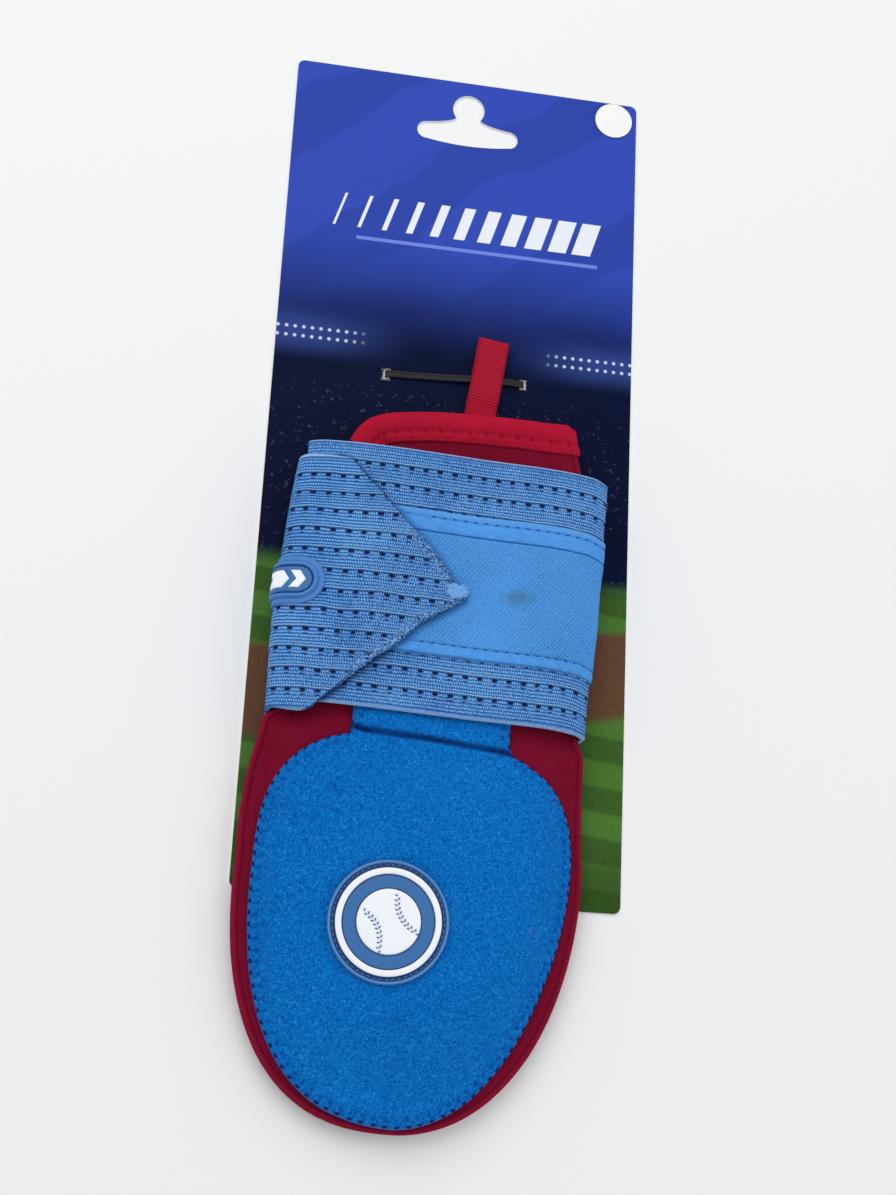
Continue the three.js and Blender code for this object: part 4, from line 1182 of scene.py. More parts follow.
class MITT_OT_card(bpy.types.Operator):
    """Give the hang card its print and the sticker its paper"""

    bl_idname = "mitt.card"
    bl_label = "Hang Card and Sticker"

    def execute(self, context):
        finishes = {"card": card_finish(context.scene.mitt_card), "card_sticker": sticker_finish()}
        for name, material in finishes.items():
            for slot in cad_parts[name].material_slots:
                slot.material = material
        return {"FINISHED"}


class MITT_OT_tie(bpy.types.Operator):
    """Build the notched tie that holds the loop to the card"""

    bl_idname = "mitt.tie"
    bl_label = "Tie"

    def execute(self, context):
        reach = SLOT_X / math.cos(SLOT_TURN)
        line = np.array([
            (-reach, 0.25), (-reach, 0.9), (-reach + 0.6, 1.35), (-16, 1.3), (-7, 1.45), (0, 2.0),
            (4.6, 2.34), (17.6, 2.34), (20.4, 1.9), (reach - 0.9, 1.36), (reach, 0.95), (reach, 0.25),
        ])
        for _ in range(2):
            cut = np.stack([line[:-1] * 0.75 + line[1:] * 0.25, line[:-1] * 0.25 + line[1:] * 0.75], 1)
            line = np.vstack([line[:1], cut.reshape(-1, 2), line[-1:]])
        run = run_along(line)
        wanted = np.linspace(0, run[-1], 260)
        line = points_at(wanted, run, line)
        ahead = heading(line)
        notch = 0.07 * np.abs(((wanted / 1.3) % 1) - 0.5) * smooth(np.abs(line[:, 0] - 11), 5, 7)
        cos, sin = math.cos(SLOT_TURN), math.sin(SLOT_TURN)
        path = np.stack([line[:, 0] * cos, SLOT_Y + line[:, 0] * sin, line[:, 1] - notch], -1)
        across = np.tile([-sin, cos, 0.0], (len(path), 1))
        normal = np.stack([-ahead[:, 1] * cos, -ahead[:, 1] * sin, ahead[:, 0]], -1)
        half, thick = TIE_WIDTH / 2, TIE_THICK / 2
        section = np.array([
            (-half, -thick * 0.6), (-half, thick * 0.5), (-half + 0.25, thick), (-0.5, thick),
            (-0.4, thick * 0.7), (0.4, thick * 0.7), (0.5, thick), (half - 0.25, thick),
            (half, thick * 0.5), (half, -thick * 0.6), (half - 0.2, -thick), (-half + 0.2, -thick),
        ])
        body = swept(path, across, normal, section)
        piece = add_piece("tie_strip", body, tie_finish(), on_card=True)
        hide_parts("card_tie")
        return {"FINISHED"}


class MITT_OT_pull_loop(bpy.types.Operator):
    """Build the ribbed webbing loop above the hem"""

    bl_idname = "mitt.pull_loop"
    bl_label = "Pull Loop"

    def execute(self, context):
        low = CARD_TOP + WEBBING_THICK / 2
        inside = 2 * GAP + TIE_THICK
        high = low + WEBBING_THICK + inside
        bend = (high - low) / 2
        arc = np.linspace(-np.pi / 2, np.pi / 2, 12)
        fold = np.stack([LOOP_LENGTH - bend - 0.4 + bend * np.cos(arc), low + bend + bend * np.sin(arc)], -1)
        stem = low + WEBBING_THICK + 0.02
        ends = [(10.5, high), (8.5, high - 0.2), (6, stem + 0.2), (4, stem), (-9, stem)]
        knots = np.vstack([[(-9, low)], fold, ends])
        run = run_along(knots)
        wanted = np.linspace(0, run[-1], 420)
        line = points_at(wanted, run, knots)
        kernel = np.hanning(9) / np.hanning(9).sum()
        for i in (0, 1):
            line[4:-4, i] = np.convolve(line[:, i], kernel, "valid")
        ahead = heading(line)
        cos, sin = math.cos(LOOP_LEAN), math.sin(LOOP_LEAN)
        path = np.stack([LOOP_X - line[:, 0] * sin, line[:, 0] * cos, line[:, 1]], -1)
        across = np.tile([cos, sin, 0.0], (len(path), 1))
        # The normal points to the loop's outside
        normal = np.stack([-ahead[:, 1] * sin, ahead[:, 1] * cos, -ahead[:, 0]], -1)
        half, thick = WEBBING_WIDTH / 2, WEBBING_THICK / 2
        outside = np.linspace(-half + 0.15, half - 0.15, 34)
        rounded = np.minimum(0.12, (half - np.abs(outside)) * 0.5)
        upper = np.stack([outside, thick - 0.12 + rounded + 0.03 * np.cos(outside * 2 * np.pi / 0.72)], -1)
        lower = [
            (half, thick - 0.3), (half, -thick + 0.2), (half - 0.2, -thick), (0, -thick),
            (-half + 0.2, -thick), (-half, -thick + 0.2), (-half, thick - 0.3),
        ]
        section = np.vstack([upper, lower])
        rib = 1 + 0.1 * np.cos(wanted * 2 * np.pi)
        body = swept(path, across, normal * rib[:, None], section)
        cloth = np.stack(np.broadcast_arrays(wanted[:, None], section[None, :, 0]), -1).reshape(-1, 2)
        material = webbing_finish(context.scene.mitt_cloth.hem)
        piece = add_piece("loop_band", body, material, {"cloth": cloth})
        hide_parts("pull_loop")
        return {"FINISHED"}


class MITT_OT_walls(bpy.types.Operator):
    """Build the back wall, the front wall and the stitched edge that joins them"""

    bl_idname = "mitt.walls"
    bl_label = "Back and Front Walls"

    def execute(self, context):
        material = knit_finish(context.scene.mitt_cloth.panel)
        front = self.front(material)
        back = self.back(material)
        edge = self.edge(context)
        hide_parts("front_panel")
        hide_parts("back_panel")
        return {"FINISHED"}

    def grids(self, outline, middle_y, columns, reach):
        """A wall's rings, with their distances to the rim and their runs along it."""
        fine = [0, 0.25, 0.55, 0.9, 1.3, 1.75, 2.25, 2.8, 3.3, 3.8, 4.4, 5.2, 6, 7, 8.2, 9.6, 11.2, 13]
        depths = [*fine, *np.linspace(16, reach * 0.94, 16)]
        return disc_grid(outline, np.array([MITT_MIDDLE, middle_y]), columns, depths, reach)

    def front(self, material):
        """The front wall, with a rolled and sewn rim."""
        plan, distance, run = self.grids(mitt_outline(MITT_TOP - FRONT_START), -130.0, 720, 54)
        x, y = plan[..., 0], plan[..., 1]
        top = front_topside(x, y)
        left = smooth(MITT_MIDDLE - x, 5, 20) * smooth(-y, 100, 112)
        ridge = 0.35 * hump(distance - 1.1, 0.8) * left
        seams = -0.28 * hump(distance - 3.1, 0.35) - 0.16 * hump(distance - 1.9, 0.3)
        waves = 0.12 * soft_noise(plan, 22, 3) * smooth(distance, 3, 9)
        relief = ridge + seams * (1 - left * 0.5) + waves
        outer = np.dstack([x, y, top - rounded_drop(distance, 1.1) + relief])
        thick = blend(EDGE_THICK, FRONT_THICK, smooth(distance, 6, 14))
        inner = np.dstack([x, y, top - thick + rounded_drop(distance, 0.7)])
        body = closed_disc(outer, inner, 6)
        return add_piece("front_wall", body, material, rim_maps(body, distance, run))

    def back(self, material):
        """The back wall, whose upper edge lies in the hem."""
        _, line, inward = hem_line(120)
        line = line + inward * (HEM_THICK + SEAT_GAP)
        sides = mitt_outline(line[0, 1] - 1.5)
        sides = sides[(sides[:, 0] < 0) | (sides[:, 1] < line[-1, 1] - 1.5)]
        plan, distance, run = self.grids(np.vstack([sides, line[::-1]]), -115.0, 660, 52)
        x, y = plan[..., 0], plan[..., 1]
        outer = np.dstack([x, y, back_topside(x, y) - rounded_drop(distance, 0.9)])
        inner = np.dstack([x, y, back_underside(x, y) + rounded_drop(distance, 0.9)])
        body = closed_disc(outer, inner, 6)
        return add_piece("back_wall", body, material, rim_maps(body, distance, run))

    def edge(self, context):
        """Overlock stitches round the left edge, from under the strap to the tip."""
        rim = resampled(mitt_outline(-104), 2400)
        rim = rim[(rim[:, 0] < MITT_MIDDLE - 8) & (rim[:, 1] < -106)]
        rim = rim[np.argsort(-rim[:, 1])]
        run = run_along(rim)
        count = int(run[-1] / 1.15)
        wanted = np.linspace(0, run[-1], count)
        place = points_at(wanted, run, rim)
        ahead = heading(place)
        inward = np.stack([-ahead[:, 1], ahead[:, 0]], -1)
        high = place + inward * 1.7 + ahead * 0.35
        out = place - inward * 0.12
        rim_top = front_topside(place[:, 0], place[:, 1])
        starts = np.column_stack([high, front_topside(high[:, 0], high[:, 1]) + 0.1])
        ends = np.column_stack([out, rim_top - 1.1])
        ups = np.column_stack([-inward * 0.6, np.full(count, 0.8)])
        body = threads(starts, ends, 0.27, 0.35, ups, rings=8)
        thread = thread_finish("edge_thread", lighter(context.scene.mitt_cloth.panel, 1.25))
        return add_piece("edge_overlock", body, thread)


class MITT_OT_hem(bpy.types.Operator):
    """Build the folded hem with its row of stitches and puckers"""

    bl_idname = "mitt.hem"
    bl_label = "Hem"

    def execute(self, context):
        settings = context.scene.mitt_cloth
        pitch = settings.hem_pitch / MM
        run, line, inward = hem_line(300)
        flap = np.concatenate([np.linspace(1, 0, 40) ** 1.1, [0, 0, 0, 0], np.linspace(0, 1, 12)])
        turn = np.concatenate([np.ones(40), np.cos(np.linspace(0.15, 0.85, 4) * np.pi), -np.ones(12)])
        reach = HEM_DEPTH * flap
        bulge = np.where(np.abs(turn) < 1, np.sqrt(1 - turn**2), 0) * HEM_THICK
        inset = HEM_THICK + reach - bulge
        slant = 0.27 * smooth(run, run[-1] - 16, run[-1] - 1)[:, None] * np.array([[1.0, -0.03]])
        corner = 1.4 * smooth(run, run[-1] - 2.5, run[-1])[:, None] * (1 - smooth(inset, 0.5, 2.5))

        def placed(inset):
            moved = inward[:, None] * (inset + corner)[..., None] + slant[:, None] * inset[..., None]
            return line[:, None] + moved

        place = placed(inset)
        x, y = place[..., 0], place[..., 1]
        low, high = back_underside(x, y) - GAP, back_topside(x, y) + GAP * 0.5
        phase = run * 2 * np.pi / pitch
        stitched = hump(reach - HEM_SEAM, 0.7) * (0.3 + 0.55 * np.cos(phase) ** 2)[:, None]
        drawn = 0.6 * np.sin(phase * 1.5 + 0.8) + 0.4 * np.sin(phase * 2.7)
        pucker = hump(reach - 6.3, 2.3) * drawn[:, None]
        lip = 0.16 * hump(reach - HEM_DEPTH + 0.4, 0.35) - 0.42 * smooth(reach, 7.6, HEM_DEPTH)
        pillow = 0.5 * np.sin(np.clip(reach / 6.2, 0, 1) * np.pi)
        pillow = pillow + 0.35 * np.sin(np.clip((reach - 6.8) / 3.2, 0, 1) * np.pi)
        drift = 0.12 * soft_noise(place, 9, 5)
        top = pillow + lip - 0.38 * stitched + 0.15 * pucker + drift
        top = top - rounded_drop(HEM_DEPTH - reach, 0.35)
        top = np.where(turn > 0.99, top, 0)
        shell = 0.9
        above, below = high + shell * np.clip(turn, 0, 1) + top, low + shell * np.clip(turn, -1, 0)
        outer_z = np.where(turn > 0, above, below)
        middle = (low + high) / 2
        outer_z = np.where(np.abs(turn) < 0.99, blend(middle, outer_z, np.abs(turn) ** 0.6), outer_z)
        outer = np.dstack([x, y, outer_z])
        inner = np.dstack([placed(HEM_THICK + reach), np.where(turn > 0, high, low)])
        grid = np.concatenate([outer, inner[:, ::-1]], axis=1)
        body = outwards(grid.reshape(-1, 3), tube_faces(numbered(grid)))
        both = np.concatenate([np.where(turn > 0, reach, 0), np.zeros(len(reach))])
        cloth = np.stack(np.broadcast_arrays(run[:, None], both), -1).reshape(-1, 2)
        piece = add_piece("hem_fold", body, hem_finish(settings.hem), {"cloth": cloth})
        count = int(run[-1] / pitch)
        at = (np.arange(count) + 0.5) * pitch
        rows = np.clip(np.searchsorted(run, at), 1, len(run) - 2)
        flat_z = high + shell + top
        column = int(np.argmin(np.abs(reach[:40] - HEM_SEAM)))
        source = rng(8)
        starts, ends = [], []
        for row in rows:
            lean = source.uniform(-0.25, 0.25)
            first, last = column - 4, column + 3
            starts.append([*place[row, first], flat_z[row, first] - 0.1])
            ends.append([*(place[row, last] + (lean, 0)), flat_z[row, last] - 0.1])
        body = threads(starts, ends, 0.26, 0.12)
        thread = thread_finish("hem_thread", linear(140, 12, 38))
        stitches = add_piece("hem_stitches", body, thread)
        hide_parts("cuff_hem")
        return {"FINISHED"}


class MITT_OT_shield(bpy.types.Operator):
    """Build the padded fleece shield, swollen by cloth simulation, and its stitches"""

    bl_idname = "mitt.shield"
    bl_label = "Fleece Shield"

    def execute(self, context):
        settings = context.scene.mitt_cloth
        fine = [0, 0.2, 0.45, 0.75, 1.1, 1.5, 1.95, 2.4, 2.7, 3.0, 3.3, 3.7, 4.3, 5, 5.8, 6.8, 8, 9.2]
        depths = [*fine, *np.linspace(10.6, 47, 38)]
        plan, distance, run = disc_grid(shield_outline(), np.array([SHIELD_MIDDLE, -160.0]), 480, depths, 50)
        x, y = plan[..., 0], plan[..., 1]
        base = front_topside(x, y) + 0.2
        neck = smooth(y, -121, -116)
        thick = blend(SHIELD_THICK, 2.6, neck)
        filled = round_in(distance, SHIELD_RIM_WIDTH, 2.2)
        flat_top = base + (SHIELD_RIM_THICK + (thick - SHIELD_RIM_THICK) * filled)
        flat_top = flat_top + self.swollen(np.dstack([x, y, flat_top]), np.dstack([x, y, base]))
        pitch = settings.stitch_pitch / MM
        groove = 0.22 * hump(distance - 2.9, 0.8)
        dimple = 0.45 * hump(distance - 2.8, 0.9) * np.cos(run * np.pi / pitch) ** 4
        puff = 0.16 * hump(distance - 1.6, 0.9) * np.sin(run * np.pi / pitch) ** 2
        across_crease = y - np.interp(x, CREASE_X, CREASE_Y)
        near_neck = smooth(x, -31, -26) * (1 - smooth(x, 24, 28))
        crease = 1.25 * hump(across_crease, 0.7) - 0.45 * hump(across_crease + 2.4, 1.6)
        crease = (crease - 0.3 * hump(across_crease - 3.0, 1.8)) * near_neck
        corners = 0.0
        for corner_x, lean in ((-28.5, 0.5), (25.5, -0.5)):
            for k in range(3):
                away = (x - corner_x - lean * (y + 118) * (0.6 + 0.8 * k)) / (0.9 + 0.3 * k)
                corners = corners + 0.26 * hump(away) * hump(y + 121 + 2 * k, 3.6)
        waves = 0.16 * soft_noise(plan, 34, 11) + 0.05 * soft_noise(plan, 7, 12)
        badge_away = np.hypot(x - BADGE_X, y - BADGE_Y)
        pressed = 0.55 * hump(badge_away - 19, 2.2) + 0.3 * (badge_away < 19) * smooth(19 - badge_away, 0, 3)
        top = flat_top - groove - dimple + puff - crease - corners + waves * smooth(distance, 3, 9) - pressed
        top = np.maximum(top - rounded_drop(distance, 0.95), base + 0.25)
        outer, inner = np.dstack([x, y, top]), np.dstack([x, y, base])
        body = closed_disc(outer, inner, 6)
        maps = rim_maps(body, distance, run)
        maps["fold"] = disc_map(np.dstack([across_crease, near_neck]), (-60, 0))
        shield = add_piece("shield_pad", body, fleece_finish(settings.fleece), maps)
        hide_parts("hand_shield")
        self.stitches(outer, distance, settings)
        return {"FINISHED"}

    def swollen(self, outer, inner):
        """How far the filling pushes up the outer face, from a cloth simulation of a coarse copy."""
        step_ring, step_column = FILLING_STEPS
        rows = np.unique([*range(0, outer.shape[0], step_ring), outer.shape[0] - 1])
        coarse_outer, coarse_inner = outer[rows][:, ::step_column], inner[rows][:, ::step_column]
        points, faces = closed_disc(coarse_outer, coarse_inner, 1)
        count = coarse_outer.shape[0] * coarse_outer.shape[1]
        mesh = bpy.data.meshes.new("filling")
        mesh.from_pydata((points * MM * FILLING_SCALE).tolist(), [], faces)
        filling = linked("filling", mesh)
        held = filling.vertex_groups.new(name="held")
        held.add([*range(coarse_outer.shape[1]), *range(count + 1, len(points))], 1.0, "REPLACE")
        cloth = filling.modifiers.new("cloth", "CLOTH")
        cloth.settings.vertex_group_mass = "held"
        cloth.settings.quality = 6
        cloth.settings.mass = 0.25
        cloth.settings.tension_stiffness = 25
        cloth.settings.compression_stiffness = 25
        cloth.settings.use_pressure = True
        cloth.settings.uniform_pressure_force = 4
        cloth.settings.effector_weights.gravity = 0
        cloth.point_cache.frame_start = 1
        cloth.point_cache.frame_end = FILLING_FRAMES
        scene = bpy.context.scene
        for number in range(1, FILLING_FRAMES + 1):
            scene.frame_set(number)
        evaluated = filling.evaluated_get(bpy.context.evaluated_depsgraph_get())
        moved = np.empty(len(points) * 3)
        evaluated.data.vertices.foreach_get("co", moved)
        scene.frame_set(1)
        bpy.data.objects.remove(filling)
        moved = moved.reshape(-1, 3)[:count, 2] / MM / FILLING_SCALE
        lift = np.clip((moved - points[:count, 2]) * 0.35, -0.6, 1.1).reshape(coarse_outer.shape[:2])
        wide = np.hstack([lift, lift[:, :1]])
        columns = np.arange(wide.shape[1]) * step_column
        by_row = np.array([np.interp(np.arange(outer.shape[1]), columns, row) for row in wide])
        return np.stack([np.interp(np.arange(outer.shape[0]), rows, column) for column in by_row.T], -1)

    def stitches(self, outer, distance, settings):
        """Dark stitches round the rim, each with a short tail towards the middle."""
        pitch = settings.stitch_pitch / MM
        ring, inside = (outer[int(np.argmin(np.abs(distance.mean(1) - away)))] for away in (0.42, 1.9))
        closed = np.vstack([ring, ring[:1]])
        inner = np.vstack([inside, inside[:1]])
        run = run_along(closed[:, :2])
        count = int(round(run[-1] / pitch))
        step = run[-1] / count
        source = rng(71)

        def at(line, places, rise):
            points = points_at(places % run[-1], run, line)
            points[:, 2] += rise
            return points

        def sewn(name, starts, ends, radius, arch, finish):
            shown = starts[:, 1] < -112
            add_piece(name, threads(starts[shown], ends[shown], radius, arch), finish)

        numbers = np.arange(count) + source.uniform(-0.06, 0.06, count)
        dark = thread_finish("shield_thread", settings.thread)
        starts, ends = at(closed, (numbers + 0.24) * step, 0.1), at(closed, (numbers + 0.64) * step, 0.1)
        sewn("shield_stitches", starts, ends, 0.44, 0.22, dark)
        starts, ends = at(closed, (numbers + 0.62) * step, 0.3), at(inner, (numbers + 0.8) * step, 0.02)
        pale = thread_finish("shield_tail", linear(6, 66, 150))
        sewn("shield_stitch_tails", starts, ends, 0.15, 0.12, pale)


class MITT_OT_badge(bpy.types.Operator):
    """Build the round rubber badge with its white ring and plain ball"""

    bl_idname = "mitt.badge"
    bl_label = "Badge"

    def execute(self, context):
        settings = context.scene.mitt_rubber
        blue = rubber_finish("badge_rubber", settings.base, 0.3, self.shade_and_highlight)
        white = rubber_finish("badge_white", settings.relief, 0.125)
        shield = bpy.data.objects["shield_pad"].data
        under = np.empty(len(shield.vertices) * 3)
        shield.vertices.foreach_get("co", under)
        under = under.reshape(-1, 3) / MM
        centre = seated(np.array([[BADGE_X, BADGE_Y, 0.0]]))[0] / MM
        near = under[np.hypot(under[:, 0] - centre[0], under[:, 1] - centre[1]) < 8, 2]
        self.middle = float(np.median(near[near > near.mean()]))
        radius = BADGE_DIAMETER / 2
        lip = [0, 0.12, 0.3, 0.6, 0.8, 0.95, 1.2, 1.7, 2.2, 2.45, 2.6, 2.9]
        radii = [*(radius - inset for inset in lip), 15, 13, 11, 9, 7, 5, 3, 1]
        heights = [
            0.5, 0.95, 1.2, 1.3, 1.2, 0.95, 0.6, 0.5, 0.6, 0.95, 1.05, 1.1,
            1.1, 1.12, 1.14, 1.16, 1.18, 1.2, 1.2, 1.2,
        ]
        outer = self.revolved(radii, heights, 168)
        inner = self.revolved(radii, [-0.5] * len(radii), 168)
        body = closed_disc(outer, inner, 4)
        from_middle = np.hypot(body[0][:, 0] - BADGE_X, body[0][:, 1] - BADGE_Y)
        maps = {"rim": np.column_stack([from_middle, from_middle])}
        badge = add_piece("badge_disc", body, blue, maps)
        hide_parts("badge")
        ring_out = RING_DIAMETER / 2
        ring_in = ring_out - RING_WIDTH
        profile = [(ring_out, 0.9), (ring_out - 0.05, 1.42), (ring_out - 0.25, 1.6), (ring_in + 0.25, 1.6),
                   (ring_in + 0.05, 1.42), (ring_in, 0.9)]
        ring = add_piece("badge_hoop", closed_ring(self.revolved(*zip(*profile), 168)), white)
        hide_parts("badge_ring")
        ball_radius = BALL_DIAMETER / 2
        radii = [ball_radius, ball_radius - 0.08, ball_radius - 0.3, *np.linspace(ball_radius - 0.7, 0.5, 16)]
        heights = [1.0, 1.5, 1.72, *([1.78] * 16)]
        outer = self.revolved(radii, heights, 120)
        local = outer[..., :2] - (BADGE_X, BADGE_Y)
        cos, sin = BALL_TURN
        turned = local[..., 0] * cos + local[..., 1] * sin
        lengthwise = local[..., 1] * cos - local[..., 0] * sin
        for side in (-1, 1):
            curve = side * (BALL_SEAM_APART + BALL_SEAM_BEND * lengthwise**2)
            outer[..., 2] -= 0.35 * hump(turned - curve, 0.45)
        inner = self.revolved(radii, [0.9] * len(radii), 120)
        ball = add_piece("badge_ball_disc", closed_disc(outer, inner, 4), white)
        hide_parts("badge_ball")
        self.seams()
        self.sewn_groove(radius)
        return {"FINISHED"}

    def shade_and_highlight(self, finish):
        """Painted shade in thin dark lines beside the ring and the ball and in the groove, and a painted
        highlight in a pale line on the lip.
        """
        radius = finish.on_map("rim")[0]
        outside, hoop = BADGE_DIAMETER / 2, RING_DIAMETER / 2
        ball, groove = BALL_DIAMETER / 2, outside - 1.65
        lines = 0.0
        for at, width in ((hoop, 0.5), (hoop - RING_WIDTH, 0.5), (ball, 0.45), (groove, 0.55)):
            lines = lines + finish.step(abs(radius - at), width, width * 0.6)
        # Painted shade where the ring and the ball meet the disc and in the groove.
        finish.tint(lines * 0.85, linear(12, 40, 92))
        # Painted highlight along the crest of the lip.
        lip = finish.step(abs(radius - outside + 0.65), 0.45, 0.15)
        finish.tint(lip * 0.5, linear(110, 160, 212))

    def surface(self, x, y):
        """Height of the shield's crown under the badge, smoothed to a plain bulge."""
        here = front_topside(np.asarray(x, float), np.asarray(y, float))
        centre = front_topside(np.array([BADGE_X]), np.array([float(BADGE_Y)]))[0]
        return self.middle + (here - centre)

    def revolved(self, radii, heights, count):
        """A grid of circles round the badge's middle, on the shield's crown."""
        angle = np.linspace(0, 2 * np.pi, count, endpoint=False)
        x = BADGE_X + np.array(radii)[:, None] * np.cos(angle)
        y = BADGE_Y + np.array(radii)[:, None] * np.sin(angle)
        return np.dstack([x, y, self.surface(x, y) + np.array(heights)[:, None]])

    def seams(self):
        """Small slanted stitches along both curved seams of the ball."""
        cos, sin = BALL_TURN
        starts, ends = [], []
        for side in (-1, 1):
            for lengthwise in np.arange(-7.4, 7.5, 1.35):
                for reach in (-1, 1):
                    turned = side * (BALL_SEAM_APART + BALL_SEAM_BEND * lengthwise**2)
                    tail = turned + reach * 0.95, lengthwise + 0.55
                    pair = []
                    for a, b in ((turned + reach * 0.15, lengthwise), tail):
                        x = BADGE_X + a * cos - b * sin
                        y = BADGE_Y + a * sin + b * cos
                        pair.append([x, y, float(self.surface(x, y)) + 1.82])
                    if np.hypot(pair[1][0] - BADGE_X, pair[1][1] - BADGE_Y) < 9.4:
                        starts.append(pair[0])
                        ends.append(pair[1])
        body = threads(starts, ends, 0.19, 0.08)
        blue = rubber_finish("badge_seam", linear(44, 92, 158))
        return add_piece("badge_seams", body, blue)

    def sewn_groove(self, radius):
        """Stitches in the groove inside the badge's lip."""
        middle, pitch = radius - 1.7, 1.9
        count = int(2 * np.pi * middle / pitch)
        numbers = np.arange(count)

        def at(places):
            angle = places / count * 2 * np.pi
            x, y = BADGE_X + middle * np.cos(angle), BADGE_Y + middle * np.sin(angle)
            return np.column_stack([x, y, self.surface(x, y) + 0.62])

        body = threads(at(numbers + 0.15), at(numbers + 0.78), 0.24, 0.2)
        finish = thread_finish("badge_thread", linear(74, 120, 182))
        return add_piece("badge_stitches", body, finish)


class MITT_OT_strap(bpy.types.Operator):
    """Build the wound elastic strap with its ribs, selvedges and frayed point"""

    bl_idname = "mitt.strap"
    bl_label = "Wrist Strap"

    def execute(self, context):
        settings = context.scene.mitt_strap
        first, last = run_at(STRAP_START_TURN), run_at(turn_at_x(STRAP_TIP_X, True))
        side, back_end = run_at(RIGHT_SIDE_TURN), run_at(LEFT_SIDE_TURN)
        runs = np.concatenate([
            np.linspace(first, side, 164)[:-1],
            np.linspace(side, back_end, 34)[:-1],
            np.linspace(back_end, last, 188),
        ])
        turns = np.interp(runs, FINE_RUN, FINE_TURNS)
        straight_top = STRAP_TOP_Y + strap_shift(turns)
        straight_bottom = straight_top - STRAP_WIDTH
        x = np.interp(runs, FINE_RUN, FINE_POINTS[:, 0])
        pointed = smooth(turns, 1.8, 2.03)
        top = blend(straight_top, np.interp(x, CUT_TOP_X, CUT_TOP), pointed)
        bottom = blend(straight_bottom, np.interp(x, CUT_BOTTOM_X, CUT_BOTTOM), pointed)
        tip_layer = turns > TIP_TURN
        shares = np.linspace(0, 1, 217)
        edge = (1 - np.cos(shares * np.pi)) / 2
        shares = shares * 0.92 + edge * 0.08
        y = top + (bottom - top) * shares[:, None]
        run = np.broadcast_to(runs, y.shape)
        # The rows of slots of the pointed end lie a little higher than those below
        risen = self.rise(straight_top - y) * pointed
        across = straight_top - y + risen
        wander = 0.16 * soft_noise(np.dstack([run, y]), 16, 23)
        across = across + wander * smooth(across, 4, 9) * smooth(STRAP_WIDTH - across, 4, 9)
        spread = [np.hypot(1, 0.75 * np.abs(np.gradient(edge, runs))) for edge in (top, bottom)]
        from_top = np.where(x > CUT_TOP_X[3], (top - y) / spread[0], 20)
        from_bottom = np.where(x > CUT_BOTTOM_X[2], (y - bottom) / spread[1], 20)
        cut = np.where(tip_layer, np.minimum(from_top, from_bottom), 20)
        cut = np.where(tip_layer, np.minimum(cut, last - runs + 0.3), cut)
        distance = np.minimum(np.minimum(y - bottom, top - y), cut)
        near_top = from_top < from_bottom
        frayed_top = smooth(x, FRAY_TOP_X - 7, FRAY_TOP_X + 5)
        frayed_bottom = smooth(x, FRAY_BOTTOM_X - 9, FRAY_BOTTOM_X + 6)
        fray_share = np.where(near_top, frayed_top, frayed_bottom) * tip_layer
        on_tip = smooth(x - 0.25 * (y + 70), -46, -12) * 0.6 + 0.45 + 0.2 * smooth(-y, 84, 104)
        worked = np.where(turns < 1.5, 0.7, on_tip) * np.ones_like(y)
        flat_place = np.dstack([run, across])
        height = STRAP_THICK / 2 * (0.35 + 0.65 * round_in(distance, 0.6)) + self.relief(across, settings)
        crease = hump(x + 39 + 0.15 * (y + 57), 0.7) * smooth(-y, 49, 53) * smooth(y, -66, -60)
        height = height - 0.3 * crease * tip_layer
        lifted = 0.55 * np.exp(-cut / 2.5) + 0.12 * soft_noise(flat_place, 15, 21)
        lifted = np.where(tip_layer, 1, 0) * lifted
        fray = fray_share * np.exp(-cut / 0.8)
        jitter = rng(4).normal(0, 1, y.shape)
        height = height + fray * rng(6).normal(0, 1, y.shape) * 0.12
        bow = 0.1 * soft_noise(flat_place, 40, 22) * np.where(turns < 1.02, 1, 0)
        outer = on_winding(run, height + lifted + bow, y + fray * jitter * 0.22)
        inner = on_winding(run, -STRAP_THICK / 2 + lifted * 0.6, y)
        step = 6
        body = closed_sheet(outer, inner, step)
        shadow_distance = self.shadow_distance(outer, turns)
        maps = {
            "cloth": sheet_map(flat_place, step),
            "rim": sheet_map(np.dstack([cut, worked]), step),
            "shadow_distance": sheet_map(np.dstack([shadow_distance, fray_share]), step),
        }
        strap = add_piece("strap_band", body, strap_finish(settings), maps)
        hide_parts("wrist_strap")
        frays = self.frays(runs, x, top, bottom, tip_layer)
        area = float(np.trapz(top - bottom, runs)) * MM * MM
        return {"FINISHED"}

    def rise(self, across):
        """How much higher the rows of the pointed end lie than those of the layer below."""
        return 0.7 + 1.5 * smooth(across, 9, 17) + 0.6 * smooth(across, 40, 84)

    def shadow_distance(self, outer, turns):
        """Distance from the layer below to the outline of the pointed end that lies on it: how far the
        painted shadow of that end reaches.
        """
        lower = turns < 1.2
        distance = np.full(outer.shape[:2], 20.0)
        shown = outer[:, lower]
        distance[:, lower] = line_distance(shown[..., :2].reshape(-1, 2), cut_line()).reshape(shown.shape[:2])
        return distance

    def relief(self, across, settings):
        """Ribs, a cord over each row of slots, the rows' hollows and a lip along both selvedges."""
        pitch = settings.row_pitch / MM
        from_row = ((across - settings.first_row / MM) / pitch + 0.5) % 1
        from_row = (from_row - 0.5) * pitch
        banded = smooth(across, WEFT_FROM, WEFT_TO) * smooth(STRAP_WIDTH - across, WEFT_FROM, WEFT_TO)
        ribs = 0.05 * np.cos(across * 2 * np.pi / (settings.rib_pitch / MM))
        cord = 0.2 * hump(from_row + 0.95, 0.3)
        hollow = -0.14 * hump(from_row, 0.5)
        edge = np.minimum(across, STRAP_WIDTH - across)
        lip = 0.16 * hump(edge - 0.5, 0.4)
        return ribs + (cord + hollow) * banded + lip

